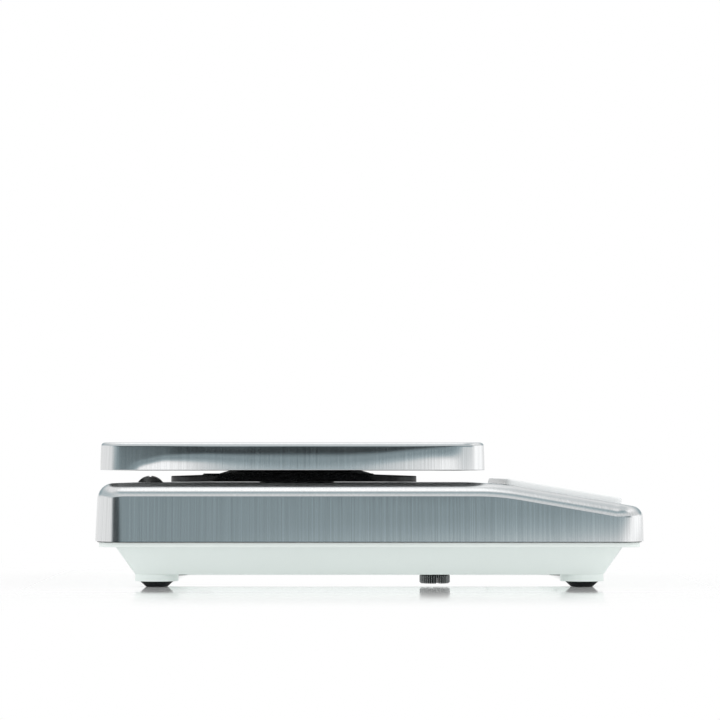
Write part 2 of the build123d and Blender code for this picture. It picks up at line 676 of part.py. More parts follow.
def carrier_plate():
    """T-shaped plate: a strip under the post and a cross-bar over the stops and the lock screw."""
    rear_x = pan_x - POST_D / 2 - CARRIER_CORNER_R
    front_x = lock_x + CARRIER_EAR_DEPTH / 2
    strip_length = front_x - rear_x
    plate = rounded_block(
        strip_length, CARRIER_WIDTH, carrier_z, carrier_top_z, CARRIER_CORNER_R, x=rear_x + strip_length / 2
    )
    plate += rounded_block(
        CARRIER_EAR_DEPTH, 2 * (LOCK_SIDE + CARRIER_EAR_MARGIN), carrier_z, carrier_top_z,
        CARRIER_CORNER_R, x=lock_x,
    )
    for x, y in support_holes:
        plate -= rod(SUPPORT_SCREW[0] + 2 * THREAD_PLAY, x, y, carrier_z, carrier_top_z)
    for x in front_holes:
        plate -= rod(CARRIER_SCREW[0] + 2 * PASS_PLAY, x, 0, carrier_z, carrier_top_z)
    return plate


def end_block(x_outer, way, z_low, z_high, holes, thread):
    """Flat packing piece the width of the load cell, drilled for its screws."""
    x_inner = x_outer + way * CELL_END
    block = slab(min(x_outer, x_inner), max(x_outer, x_inner), -CELL_WIDTH / 2, CELL_WIDTH / 2, z_low, z_high)
    for x in holes:
        block -= rod(thread + 2 * PASS_PLAY, x, 0, z_low, z_high)
    return block


def end_spacer():
    return end_block(cell_front_x, -1, cell_top_z, carrier_z, front_holes, CARRIER_SCREW[0])


def load_cell_pedestal():
    return end_block(cell_rear_x, 1, chassis_top_z, cell_z, rear_holes, CELL_SCREW[0])


def carrier_screws():
    length = CARRIER_THICKNESS + SPACER_THICKNESS + CELL_HOLE_DEPTH - SEAT_GAP
    return group([screw(x, 0, carrier_top_z, CARRIER_SCREW, length, slots=2) for x in front_holes])


def load_cell_screws():
    length = CHASSIS_THICKNESS + PEDESTAL_THICKNESS + CELL_HOLE_DEPTH - SEAT_GAP
    return group([screw(x, 0, floor_z, CELL_SCREW, length, down=False, slots=2) for x in rear_holes])


def bore_places():
    return [pan_x + side * CELL_BORE_SPACING / 2 for side in (-1, 1)]


def load_cell():
    """Bending beam with two cross bores joined by a slot, tapped at both ends."""
    cell = slab(cell_rear_x, cell_front_x, -CELL_WIDTH / 2, CELL_WIDTH / 2, cell_z, cell_top_z)
    middle_z = (cell_z + cell_top_z) / 2
    for x in bore_places():
        cell -= Pos(x, 0, middle_z) * Rot(QUARTER_ANGLE, 0, 0) * Cylinder(CELL_BORE_D / 2, CELL_WIDTH)
    cell -= Pos(pan_x, 0, middle_z) * Box(CELL_BORE_SPACING, CELL_WIDTH, CELL_SLOT)
    for x in rear_holes:
        cell -= rod(CELL_SCREW[0] + 2 * THREAD_PLAY, x, 0, cell_z, cell_z + CELL_HOLE_DEPTH)
    for x in front_holes:
        cell -= rod(CARRIER_SCREW[0] + 2 * THREAD_PLAY, x, 0, cell_top_z - CELL_HOLE_DEPTH, cell_top_z)
    return cell


def strain_gauges():
    """Coated gauges over the thin places of the beam, above and below."""
    return group([
        Pos(x, 0, z) * Box(GAUGE_LENGTH, GAUGE_WIDTH, GAUGE_THICKNESS, align=ON_BASE)
        for x in bore_places()
        for z in (cell_top_z, cell_z - GAUGE_THICKNESS)
    ])


def chassis_plate():
    length = chassis_front_x - cell_rear_x
    plate = rounded_block(
        length, CHASSIS_WIDTH, floor_z, chassis_top_z, CARRIER_CORNER_R, x=cell_rear_x + length / 2
    )
    for x, y in chassis_holes:
        plate -= rod(CHASSIS_SCREW[0] + 2 * THREAD_PLAY, x, y, floor_z, chassis_top_z)
    for x in rear_holes:
        plate -= rod(CELL_SCREW[0] + 2 * PASS_PLAY, x, 0, floor_z, chassis_top_z)
    for x, y in stop_places:
        plate -= rod(STOP_D + 2 * THREAD_PLAY, x, y, floor_z, chassis_top_z)
    return plate - rod(lock_boss_d + 2 * PASS_PLAY, lock_x, lock_y, floor_z, chassis_top_z)


def chassis_screws():
    seat_z = base_z + CHASSIS_SCREW[2]
    length = chassis_top_z - seat_z
    return group([screw(x, y, seat_z, CHASSIS_SCREW, length, down=False, slots=2) for x, y in chassis_holes])


def overload_stops():
    """Studs that meet the cross-bar just past the platform's travel."""
    top_z = carrier_z - PLATFORM_TRAVEL - STOP_GAP
    return group([rod(STOP_D, x, y, floor_z, top_z) for x, y in stop_places])


def overload_stop_nuts():
    nuts = []
    for x, y in stop_places:
        outline = Pos(x, y, chassis_top_z) * RegularPolygon(STOP_NUT_ACROSS / 2, 6, major_radius=False)
        nut = extrude(outline, STOP_NUT_HEIGHT)
        nuts.append(nut - rod(STOP_D + 2 * THREAD_PLAY, x, y, chassis_top_z, chassis_top_z + STOP_NUT_HEIGHT))
    return group(nuts)


def lock_screw():
    """Thumb screw: ridged head with a coin slot across its lower face, and a plain shank."""
    head = rod(LOCK_HEAD_D, 0, 0, LOCK_HEAD_LIFT, lock_head_top_z)
    head = chamfer(head.edges().filter_by(GeomType.CIRCLE), LOCK_HEAD_CHAMFER)
    grooves = []
    for i in range(LOCK_RIDGES):
        turn = 2 * pi * i / LOCK_RIDGES
        x = LOCK_HEAD_D / 2 * cos(turn)
        y = LOCK_HEAD_D / 2 * sin(turn)
        grooves.append(rod(2 * LOCK_RIDGE_R, x, y, LOCK_HEAD_LIFT, lock_head_top_z))
    head -= grooves
    slot = Box(LOCK_SLOT_WIDTH, LOCK_HEAD_D, 2 * LOCK_SLOT_DEPTH)
    head -= Pos(0, 0, LOCK_HEAD_LIFT) * Rot(0, 0, LOCK_SLOT_ANGLE) * slot
    return Pos(lock_x, lock_y, 0) * (head + rod(LOCK_SHANK_D, 0, 0, lock_head_top_z, lock_tip_z))


def lock_screw_washer():
    top_z = lock_head_top_z + LOCK_WASHER_HEIGHT
    washer = rod(LOCK_WASHER_D, lock_x, lock_y, lock_head_top_z, top_z)
    return washer - rod(LOCK_SHANK_D + 2 * THREAD_PLAY, lock_x, lock_y, lock_head_top_z, top_z)


def lock_screw_insert():
    insert = rod(LOCK_INSERT_D, lock_x, lock_y, lock_ceiling_z, lock_insert_top_z)
    return insert - rod(LOCK_SHANK_D + 2 * THREAD_PLAY, lock_x, lock_y, lock_ceiling_z, lock_insert_top_z)


def bezel_frame():
    """Raised plate with a hollow plug that drops into the cover's opening and catches under it."""
    plate = rounded_block(panel_length, panel_width, 0, PANEL_RISE, PANEL_CORNER_R)
    plate = fillet(plate.faces().sort_by(Axis.Z)[-1].edges(), PANEL_EDGE_R)
    plug_length = opening_length - 2 * PLUG_GAP
    plug_width = opening_width - 2 * PLUG_GAP
    plug = rounded_block(plug_length, plug_width, -PLUG_DEPTH, 0, PANEL_CORNER_R - PLUG_GAP)
    for su in (-1, 1):
        for sv in (-1, 1):
            catch_top = -COVER_WALL - SEAT_GAP
            reach = PLUG_WALL + CLIP_CATCH
            catch = Box(reach, CLIP_LENGTH, CLIP_HEIGHT, align=ON_BASE)
            catch_u = opening_length / 2 + CLIP_CATCH - reach / 2
            plug += Pos(su * catch_u, sv * CLIP_PLACE, catch_top - CLIP_HEIGHT) * catch
    plug -= rounded_block(
        plug_length - 2 * PLUG_WALL, plug_width - 2 * PLUG_WALL, -PLUG_DEPTH, 0, PANEL_CORNER_R - PLUG_WALL
    )
    return plate + plug


def panel_bezel():
    bezel = bezel_frame()
    for u, v in board_holes:
        bezel += rod(BOARD_POST_D, u, v, board_top, 0)
        bezel -= rod(BOARD_SCREW[0] + 2 * THREAD_PLAY, u, v, board_top, board_top + BOARD_SCREW_GRIP)
    seat = PANEL_RISE - WINDOW_THICKNESS
    bezel -= rounded_block(
        WINDOW_LENGTH + 2 * SEAT_GAP, WINDOW_WIDTH + 2 * SEAT_GAP, seat, PANEL_RISE,
        WINDOW_CORNER_R + SEAT_GAP, x=window_u,
    )
    bezel -= rounded_block(
        WINDOW_LENGTH - 2 * WINDOW_LEDGE, WINDOW_WIDTH - 2 * WINDOW_LEDGE, 0, PANEL_RISE,
        WINDOW_CORNER_R, x=window_u,
    )
    for v in key_places:
        bezel -= rounded_block(
            KEY_LENGTH + 2 * KEY_GAP, KEY_WIDTH + 2 * KEY_GAP, 0, PANEL_RISE,
            KEY_CORNER_R + KEY_GAP, x=key_u, y=v,
        )
    return on_panel(bezel)


def display_window():
    seat = PANEL_RISE - WINDOW_THICKNESS
    return on_panel(
        rounded_block(WINDOW_LENGTH, WINDOW_WIDTH, seat, PANEL_RISE, WINDOW_CORNER_R, x=window_u)
    )


def lcd_block(spread, w_low, w_high):
    """Block the size of the display glass, spread by a margin all round."""
    middle = Pos(window_u, 0, w_low)
    size = (LCD_LENGTH + 2 * spread, LCD_WIDTH + 2 * spread, w_high - w_low)
    return middle * Box(*size, align=ON_BASE)


def lcd_panel():
    return on_panel(lcd_block(0, -LCD_DEPTH - LCD_THICKNESS, -LCD_DEPTH))


def lcd_holder():
    """Frame that stands on the board and cups the display glass."""
    glass_z = -LCD_DEPTH - LCD_THICKNESS
    frame = lcd_block(SEAT_GAP + HOLDER_WALL, board_top, glass_z + LCD_THICKNESS / 2)
    frame -= lcd_block(SEAT_GAP, glass_z, glass_z + LCD_THICKNESS)
    return on_panel(frame - lcd_block(-HOLDER_WALL, board_top, glass_z))


def key_cap(v):
    """Cap flush with the panel, a flange that stops it there, and a stem down to its switch."""
    top = PANEL_RISE - KEY_RECESS
    cap = rounded_block(KEY_LENGTH, KEY_WIDTH, -KEY_FLANGE_HEIGHT, top, KEY_CORNER_R, x=key_u, y=v)
    cap += rounded_block(
        KEY_LENGTH + 2 * (KEY_GAP + KEY_FLANGE), KEY_WIDTH + 2 * (KEY_GAP + KEY_FLANGE),
        -KEY_FLANGE_HEIGHT, -SEAT_GAP, KEY_CORNER_R, x=key_u, y=v,
    )
    return on_panel(cap + rod(KEY_STEM_D, key_u, v, plunger_top, -KEY_FLANGE_HEIGHT))


def key_plunger(v):
    return on_panel(rod(PLUNGER_D, key_u, v, switch_top - PLUNGER_GRIP, plunger_top))


def tact_switches():
    """Square switch bodies on the board, bored for their plungers."""
    bodies = []
    for v in key_places:
        body = slab(
            key_u - SWITCH_SIDE / 2, key_u + SWITCH_SIDE / 2,
            v - SWITCH_SIDE / 2, v + SWITCH_SIDE / 2, board_top, switch_top,
        )
        bore_z = switch_top - PLUNGER_GRIP - KEY_TRAVEL - SEAT_GAP
        bodies.append(on_panel(body - rod(PLUNGER_D + 2 * THREAD_PLAY, key_u, v, bore_z, switch_top)))
    return group(bodies)


def main_board():
    board = rounded_block(board_length, board_width, board_under, board_top, BOARD_CORNER_R)
    for u, v in board_holes:
        board -= rod(BOARD_SCREW[0] + 2 * PASS_PLAY, u, v, board_under, board_top)
    return on_panel(board)


def board_screws():
    length = BOARD_THICKNESS + BOARD_SCREW_GRIP - SEAT_GAP
    return group([
        on_panel(screw(u, v, board_under, BOARD_SCREW, length, down=False, slots=2)) for u, v in board_holes
    ])


def under_board(u, v, size_u, size_v, height):
    return Pos(u, v, board_under - height) * Box(size_u, size_v, height, align=ON_BASE)


def board_components():
    """Controller chip, crystal and capacitors on the board's lower face."""
    pieces = [under_board(*CHIP_PLACE, CHIP_SIDE, CHIP_SIDE, CHIP_HEIGHT)]
    pieces.append(under_board(*CRYSTAL_PLACE, *CRYSTAL_SIZE))
    for u, v in CAPACITOR_PLACES:
        pieces.append(rod(CAPACITOR_D, u, v, board_under - CAPACITOR_HEIGHT, board_under))
    return group([on_panel(piece) for piece in pieces])


def cable_connector():
    return on_panel(under_board(*CONNECTOR_PLACE, *CONNECTOR_SIZE))


def cable_points():
    """Route of the load cell cable: out of the cell's side, along the chassis and up to the board."""
    exit_x = pan_x - CABLE_EXIT_BACK
    run_z = chassis_top_z + CABLE_LIFT + CABLE_D / 2
    exit_z = run_z + CABLE_EXIT_LIFT
    u, v = CONNECTOR_PLACE
    face_u = u - CONNECTOR_SIZE[0] / 2
    plug_w = board_under - CONNECTOR_SIZE[2] / 2
    return [
        Vector(exit_x, -CELL_WIDTH / 2, exit_z),
        Vector(exit_x, -CABLE_SIDE, exit_z),
        Vector(exit_x + CABLE_RAMP, -CABLE_SIDE, run_z),
        Vector(chassis_front_x - CABLE_RUN_END, -CABLE_SIDE, run_z),
        panel_point(face_u - CABLE_APPROACH, v, plug_w),
        panel_point(face_u, v, plug_w),
    ]


def bend_radii(points):
    """Largest bend at each corner that leaves a tenth of the shorter run straight."""
    radii = []
    for before, corner, after in zip(points, points[1:], points[2:]):
        turn = radians((corner - before).get_angle(after - corner))
        shorter = min((corner - before).length, (after - corner).length)
        radii.append(BEND_SHARE * shorter / tan(turn / 2))
    return radii


def tube(points, diameter):
    """Round wire along straight runs joined by tangent arcs."""
    radii = bend_radii(points)
    print("bend radii", [round(r, 1) for r in radii])
    path = FilletPolyline(*points, radius=radii)
    start = Plane(origin=points[0], z_dir=points[1] - points[0])
    return sweep(start * Circle(diameter / 2), path=path)


def load_cell_cable():
    return tube(cable_points(), CABLE_D)


def cable_clips():
    """Saddle blocks on the chassis plate that the cable runs through."""
    size_x, size_y, size_z = CLIP_SIZE
    run_z = chassis_top_z + CABLE_LIFT + CABLE_D / 2
    clips = []
    for offset in CLIP_PLACES:
        block = Pos(pan_x + offset, -CABLE_SIDE, chassis_top_z) * Box(size_x, size_y, size_z, align=ON_BASE)
        hole = Cylinder(CABLE_D / 2 + THREAD_PLAY, size_x)
        clips.append(block - Pos(pan_x + offset, -CABLE_SIDE, run_z) * Rot(0, QUARTER_ANGLE, 0) * hole)
    return group(clips)


def terminal(x, diameter):
    """Round stud on the battery's end, along Y."""
    stud = Cylinder(diameter / 2, TERMINAL_HEIGHT, align=ON_BASE)
    return Pos(battery_x + x, BATTERY_SIDE, battery_mid_z) * Rot(QUARTER_ANGLE, 0, 0) * stud


def battery():
    """Block battery on its side, with two snap terminals on its inner end."""
    size_x, size_y, size_z = BATTERY_BODY
    body = Pos(battery_x, BATTERY_SIDE + size_y / 2, battery_z) * Box(*BATTERY_BODY, align=ON_BASE)
    body = fillet(body.edges().filter_by(Axis.Y), BATTERY_EDGE_R)
    body += terminal(-TERMINAL_PITCH / 2, TERMINAL_STUD_D)
    return body + terminal(TERMINAL_PITCH / 2, TERMINAL_SOCKET_D)


def battery_clip():
    """Snap cap over the terminals, with a hole for each."""
    cap = slab(
        battery_x - BATTERY_BODY[0] / 2 + SNAP_CAP_INSET, battery_x + BATTERY_BODY[0] / 2 - SNAP_CAP_INSET,
        BATTERY_SIDE - SNAP_CAP_HEIGHT, BATTERY_SIDE - SEAT_GAP,
        battery_z + SNAP_CAP_INSET, battery_z + BATTERY_BODY[2] - SNAP_CAP_INSET,
    )
    for x, diameter in ((-TERMINAL_PITCH / 2, TERMINAL_STUD_D), (TERMINAL_PITCH / 2, TERMINAL_SOCKET_D)):
        cap -= terminal(x, diameter + 2 * SEAT_GAP)
    return cap


def battery_lead():
    """Two wires from the snap cap up to the board."""
    wires = []
    for side in (-1, 1):
        x = battery_x + side * LEAD_PITCH / 2
        y = BATTERY_SIDE - SNAP_CAP_HEIGHT
        u = (x - panel_x) / cos(slope) - board_under * tan(slope)
        end_z = panel_point(u, 0, board_under).Z - LEAD_END_GAP
        bend = Vector(x, y - LEAD_OUT, battery_mid_z)
        wires.append(tube([Vector(x, y, battery_mid_z), bend, Vector(bend.X, bend.Y, end_z)], LEAD_D))
    return group(wires)


def battery_door():
    """Plate flush with the base, hung on two pins at its rear edge."""
    y_low = bay_low_y + DOOR_GAP
    y_high = bay_high_y - DOOR_GAP
    front_x = battery_x + bay_half_x - DOOR_GAP
    top_z = base_z + DOOR_THICKNESS
    door = slab(hinge_x, front_x, y_low, y_high, base_z, top_z)
    middle_y = (y_low + y_high) / 2
    knuckle = Cylinder(HINGE_R, y_high - y_low)
    pin = Cylinder(HINGE_PIN_R, bay_high_y - bay_low_y + 2 * HINGE_PIN_LENGTH)
    door += Pos(hinge_x, middle_y, hinge_z) * Rot(QUARTER_ANGLE, 0, 0) * knuckle
    door += Pos(hinge_x, middle_y, hinge_z) * Rot(QUARTER_ANGLE, 0, 0) * pin
    for y in (y_low + DOOR_RIB_INSET, y_high - DOOR_RIB_INSET):
        door += slab(
            battery_x - BATTERY_BODY[0] / 2, battery_x + BATTERY_BODY[0] / 2,
            y - DOOR_RIB / 2, y + DOOR_RIB / 2, top_z, battery_z - SEAT_GAP,
        )
    notch_x, notch_y, notch_z = FINGER_NOTCH
    return door - slab(
        front_x - notch_x, front_x, middle_y - notch_y / 2, middle_y + notch_y / 2, base_z, base_z + notch_z
    )


def nodes():
    """Every node of the scale, by name."""
    pieces = {
        "weighing_pan": weighing_pan(),
        "pan_locator": pan_locator(),
        "pan_support": pan_support(),
        "support_pads": support_pads(),
        "support_screws": support_screws(),
        "carrier_plate": carrier_plate(),
        "end_spacer": end_spacer(),
        "carrier_screws": carrier_screws(),
        "load_cell": load_cell(),
        "strain_gauges": strain_gauges(),
        "load_cell_pedestal": load_cell_pedestal(),
        "load_cell_screws": load_cell_screws(),
        "chassis_plate": chassis_plate(),
        "chassis_screws": chassis_screws(),
        "overload_stops": overload_stops(),
        "overload_stop_nuts": overload_stop_nuts(),
        "top_cover": top_cover(),
        "cover_standoffs": cover_standoffs(),
        "cover_screw": cover_screw(),
        "front_cover_screws": front_cover_screws(),
        "post_seal": post_seal(),
        "base_tray": base_tray(),
        "lock_screw": lock_screw(),
        "lock_screw_washer": lock_screw_washer(),
        "lock_screw_insert": lock_screw_insert(),
        "panel_bezel": panel_bezel(),
        "display_window": display_window(),
        "lcd_panel": lcd_panel(),
        "lcd_holder": lcd_holder(),
        "tact_switches": tact_switches(),
        "main_board": main_board(),
        "board_components": board_components(),
        "cable_connector": cable_connector(),
        "board_screws": board_screws(),
        "load_cell_cable": load_cell_cable(),
        "cable_clips": cable_clips(),
        "battery": battery(),
        "battery_clip": battery_clip(),
        "battery_lead": battery_lead(),
        "battery_door": battery_door(),
    }
    for name, v in zip(KEY_NAMES, key_places):
        pieces[f"{name}_key"] = key_cap(v)
        pieces[f"{name}_plunger"] = key_plunger(v)
    for end, side_x in (("front", 1), ("rear", -1)):
        for side, side_y in (("right", 1), ("left", -1)):
            pieces[f"foot_{end}_{side}"] = foot_pad(side_x, side_y)
    return pieces


os.makedirs("parts", exist_ok=True)
for node, shape in nodes().items():
    export_step(shape, f"parts/{node}.step")
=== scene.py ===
# %% [markdown]
# # A compact kitchen scale in steel and white plastic
#
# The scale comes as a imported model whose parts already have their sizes, places and joints.
# This lesson dresses that model. The large sheet-metal pieces are worked out again as smooth
# surfaces, because brushed steel shows every flat facet, and each finish is written as a node
# material. Nothing here moves a part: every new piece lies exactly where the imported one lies.

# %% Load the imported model
import json
from math import cos, radians, sin, tan

import bpy
import numpy as np
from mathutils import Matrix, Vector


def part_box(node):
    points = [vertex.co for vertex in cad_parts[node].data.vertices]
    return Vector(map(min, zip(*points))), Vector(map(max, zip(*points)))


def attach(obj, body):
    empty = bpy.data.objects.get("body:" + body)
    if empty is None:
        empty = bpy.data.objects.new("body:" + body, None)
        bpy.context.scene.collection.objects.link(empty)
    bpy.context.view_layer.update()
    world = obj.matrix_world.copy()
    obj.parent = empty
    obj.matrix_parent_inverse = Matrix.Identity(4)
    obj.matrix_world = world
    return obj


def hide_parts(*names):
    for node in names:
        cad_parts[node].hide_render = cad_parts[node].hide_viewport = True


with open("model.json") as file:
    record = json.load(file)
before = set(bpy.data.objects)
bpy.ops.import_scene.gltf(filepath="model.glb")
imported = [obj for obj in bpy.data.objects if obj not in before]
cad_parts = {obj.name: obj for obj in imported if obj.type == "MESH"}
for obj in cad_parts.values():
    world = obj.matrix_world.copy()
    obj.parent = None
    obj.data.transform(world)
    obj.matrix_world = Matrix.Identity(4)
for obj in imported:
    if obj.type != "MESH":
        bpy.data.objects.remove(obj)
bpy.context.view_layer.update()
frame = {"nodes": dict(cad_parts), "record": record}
MM = 0.001


# %% [markdown]
# ## Shader maths as plain sums
#
# A finish mixes many small patterns. Written node by node that hides the idea, so a socket is
# wrapped in a small class whose operators add the Math nodes. A second class owns one node tree
# and makes any other node: its settings first, then the values or wires of its sockets.

# %% The wire
class Wire:
    """One output socket that works in Python sums; each operator adds one Math node."""

    def __init__(self, tree, socket):
        self.tree = tree
        self.socket = socket

    def math(self, operation, *values):
        """A Math node on numbers or wires."""
        node = self.tree.nodes.new("ShaderNodeMath")
        node.operation = operation
        for socket, value in zip(node.inputs, values):
            plug(self.tree, socket, value)
        return Wire(self.tree, node.outputs[0])

    def __add__(self, other):
        return self.math("ADD", self, other)

    def __radd__(self, other):
        return self.math("ADD", other, self)

    def __sub__(self, other):
        return self.math("SUBTRACT", self, other)

    def __rsub__(self, other):
        return self.math("SUBTRACT", other, self)

    def __mul__(self, other):
        return self.math("MULTIPLY", self, other)

    def __truediv__(self, other):
        return self.math("DIVIDE", self, other)

    def __abs__(self):
        return self.math("ABSOLUTE", self)

    def swing(self, reach):
        """A pattern from 0 to 1, moved to lie round 0 and scaled."""
        return (self - 0.5) * reach


def plug(tree, socket, value):
    """Give a socket a constant, or link a wire to it."""
    if isinstance(value, Wire):
        tree.links.new(value.socket, socket)
    else:
        socket.default_value = value


print("wires ready")


# %% The tree
def usable(sockets, key):
    """The socket of that name, or that number, among those the node uses as it is set."""
    shown = [socket for socket in sockets if not socket.is_unavailable]
    if isinstance(key, int):
        return shown[key]
    return next(socket for socket in shown if socket.name == key)


class Tree:
    """One node tree; node() makes any node and gives one of its outputs as a wire."""

    def __init__(self, tree):
        self.tree = tree
        tree.nodes.clear()

    def node(self, kind, output=0, settings=None, stops=None, inputs=None):
        """A node of a kind; stops are the places and greys of a colour ramp."""
        node = self.tree.nodes.new("ShaderNode" + kind)
        for name, value in (settings or {}).items():
            setattr(node, name, value)
        if stops:
            ramp = node.color_ramp
            while len(ramp.elements) < len(stops):
                ramp.elements.new(1.0)
            for element, (place, shade) in zip(ramp.elements, stops):
                element.position = place
                element.color = (shade, shade, shade, 1.0)
        for name, value in (inputs or {}).items():
            plug(self.tree, usable(node.inputs, name), value)
        return Wire(self.tree, usable(node.outputs, output))

    def smooth(self, value, low, high, out_low=0.0, out_high=1.0):
        """Ease from one number to another while the value goes from low to high."""
        return self.node("MapRange", settings={"interpolation_type": "SMOOTHSTEP"}, inputs={
            "Value": value, "From Min": low, "From Max": high, "To Min": out_low, "To Max": out_high})

    def window(self, value, rise, full, fade, end):
        """Ease from 0 to 1 between rise and full, and back to 0 between fade and end."""
        return self.smooth(value, rise, full) * self.smooth(value, fade, end, 1.0, 0.0)

    def mix(self, share, first, second):
        """Colour between two colours, by a share from 0 to 1."""
        return self.node("Mix", settings={"data_type": "RGBA"}, inputs={
            "Factor": share, "A": first, "B": second})

    def tint(self, share, colour):
        """The colour made darker or lighter by a share round 1."""
        return self.node("VectorMath", settings={"operation": "SCALE"}, inputs={
            "Vector": colour, "Scale": share})

    def place(self):
        """Object coordinates, in metres."""
        return self.node("TexCoord", "Object")

    def axes(self, vector):
        """The three numbers of a vector."""
        parts = self.tree.nodes.new("ShaderNodeSeparateXYZ")
        plug(self.tree, parts.inputs[0], vector)
        return [Wire(self.tree, socket) for socket in parts.outputs]

    def noise(self, per_metre, detail=2.0, rough=0.5, place=None):
        """Soft noise from 0 to 1; its waves per metre are one number, or three for the axes."""
        waves = per_metre if isinstance(per_metre, tuple) else (per_metre,) * 3
        spread = self.node("Mapping", inputs={"Vector": place or self.place(), "Scale": waves})
        return self.node("TexNoise", inputs={
            "Vector": spread, "Scale": 1.0, "Detail": detail, "Roughness": rough})

    def rounded(self, radius):
        """Normal that rounds the shading of hard edges."""
        return self.node("Bevel", inputs={"Radius": radius})

    def bump(self, height, strength, distance, edge=None):
        """Normal that follows a small relief; with an edge radius, hard edges are rounded as well."""
        inputs = {"Strength": strength, "Distance": distance, "Height": height}
        if edge:
            inputs["Normal"] = self.rounded(edge)
        return self.node("Bump", inputs=inputs)


class Finish(Tree):
    """A material under construction: close() ends its tree with a shader."""

    def __init__(self, name):
        self.material = bpy.data.materials.new(name)
        self.material.use_nodes = True
        super().__init__(self.material.node_tree)

    def shader(self, **inputs):
        """A Principled shader; socket names are written with underscores."""
        named = {name.replace("_", " "): value for name, value in inputs.items()}
        return self.node("BsdfPrincipled", inputs=named)

    def close(self, shader):
        """The finished material, with the shader on its output."""
        end = self.tree.nodes.new("ShaderNodeOutputMaterial")
        self.tree.links.new(shader.socket, end.inputs["Surface"])
        return self.material


print("shader helpers ready")


# %% [markdown]
# ## Brushed stainless steel
#
# The pan and the cover are drawn from sheet that was brushed before it was pressed. On the walls
# the fine lines stand upright, so the gloss spreads sideways and stays sharp up and down; on the
# tops they run along the scale. One way is a picture of brushed steel; noise stretched along the
# line direction does the same without a picture, and two shaders, one for walls and one for tops,
# are mixed by how far the surface faces up.

# %% Steel finish
STEEL_TONE = (0.72, 0.73, 0.735)
MILL_TONE = (0.66, 0.67, 0.67)
FACING_UP = (0.55, 0.97)
FINE_LINES = (2700.0, 2700.0, 7.0)
BROAD_LINES = (620.0, 620.0, 3.0)
SLOW_CLOUDS = (60.0, 60.0, 8.0)
LID_LINES = (22.0, 3200.0, 3200.0)
LID_DRAG = (9.0, 520.0, 520.0)
SCRATCH = 0.02 * MM


def brushed_steel(name, middle, roughness, lid_roughness, spread, contrast):
    """Upright lines on the walls and lengthwise ones on the tops; spread is the sideways pull of the gloss.

    A wall leans in as it rises, so the lines are read at the place plus normal * normal_z * (z - middle),
    which undoes the lean and keeps each line whole from rim to fillet.
    """
    f = Finish(name)
    across, deep, upward = f.axes(f.node("NewGeometry", "Normal"))
    x, y, z = f.axes(f.place())
    lean = upward * (z - middle)
    upright = f.node("CombineXYZ", inputs={"X": x + across * lean, "Y": y + deep * lean, "Z": z})
    fine = f.noise(FINE_LINES, rough=0.75, place=upright)
    broad = f.noise(BROAD_LINES, rough=0.6, place=upright)
    streak = fine.swing(1.25) + broad.swing(0.22) + f.noise(SLOW_CLOUDS).swing(0.16)
    wall = f.shader(
        Base_Color=f.tint(1.0 + streak * contrast, STEEL_TONE), Metallic=1.0, Anisotropic=spread,
        Roughness=roughness + streak * 0.03, Normal=f.bump(fine, 0.03, SCRATCH))
    line = f.noise(LID_LINES, detail=3.0, rough=0.6)
    grain = line.swing(0.6) + f.noise(LID_DRAG).swing(0.4)
    lid = f.shader(
        Base_Color=f.tint(1.0 + grain * 0.35, STEEL_TONE), Metallic=1.0,
        Roughness=lid_roughness + grain * 0.10, Normal=f.bump(line, 0.10, SCRATCH))
    return f.close(f.node("MixShader", inputs={0: f.smooth(upward, *FACING_UP), 1: wall, 2: lid}))


def mill_steel():
    """The unbrushed inside of the sheet: dull, with the cloudy tone of pickled steel."""
    f = Finish("mill_steel")
    cloud = f.noise(90.0, detail=4.0)
    return f.close(f.shader(
        Base_Color=f.tint(0.9 + cloud * 0.2, MILL_TONE), Metallic=0.5, Roughness=0.46 + cloud.swing(0.2)))


cover_steel = brushed_steel(
    "cover_steel", middle=0.030, roughness=0.13, lid_roughness=0.29, spread=0.9, contrast=0.46)
pan_steel = brushed_steel(
    "pan_steel", middle=0.059, roughness=0.14, lid_roughness=0.22, spread=1.0, contrast=0.36)
inside_steel = mill_steel()
print(cover_steel.name, len(cover_steel.node_tree.nodes), "nodes")


# %% [markdown]
# ## Plastics, rubber and paint
#
# Moulded plastic is never one flat colour: the mould is spark-eroded, which leaves a fine grain,
# and the tone drifts a little with the flow. A Bevel node rounds the shading of hard edges, as a
# real moulding or casting is rounded there, so the edges catch the light.

# %% Moulded, painted and plated finishes
EDGE = 0.3 * MM
PORE = 0.03 * MM


def moulded(name, colour, roughness, grain=0.12, drift=0.06, ior=1.5):
    """Plastic, rubber or paint: slow drift of tone, fine grain in the gloss and the surface."""
    f = Finish(name)
    tone = f.noise(11.0, detail=3.0)
    pores = f.noise(2300.0)
    marks = f.smooth(f.noise(70.0, detail=6.0, rough=0.68), 0.58, 0.78)
    base = f.tint(1.0 + tone.swing(drift) - marks * drift * 0.5, colour)
    shine = roughness + pores.swing(0.10) + marks * 0.06
    skin = f.bump(pores, grain, PORE, EDGE)
    return f.close(f.shader(Base_Color=base, Roughness=shine, Normal=skin, IOR=ior))


def plain_metal(name, colour, roughness, lines_per_metre=(900.0, 900.0, 40.0)):
    """Turned, plated or milled metal: fine tool lines in the gloss over a patchy tone."""
    f = Finish(name)
    lines = f.noise(lines_per_metre, detail=3.0, rough=0.6)
    patch = f.noise(140.0, detail=3.0)
    base = f.tint(1.0 + lines.swing(0.22) + patch.swing(0.18), colour)
    shine = roughness + patch.swing(0.14) + lines.swing(0.08)
    skin = f.bump(lines, 0.10, SCRATCH, EDGE)
    return f.close(f.shader(Base_Color=base, Metallic=1.0, Roughness=shine, Normal=skin))


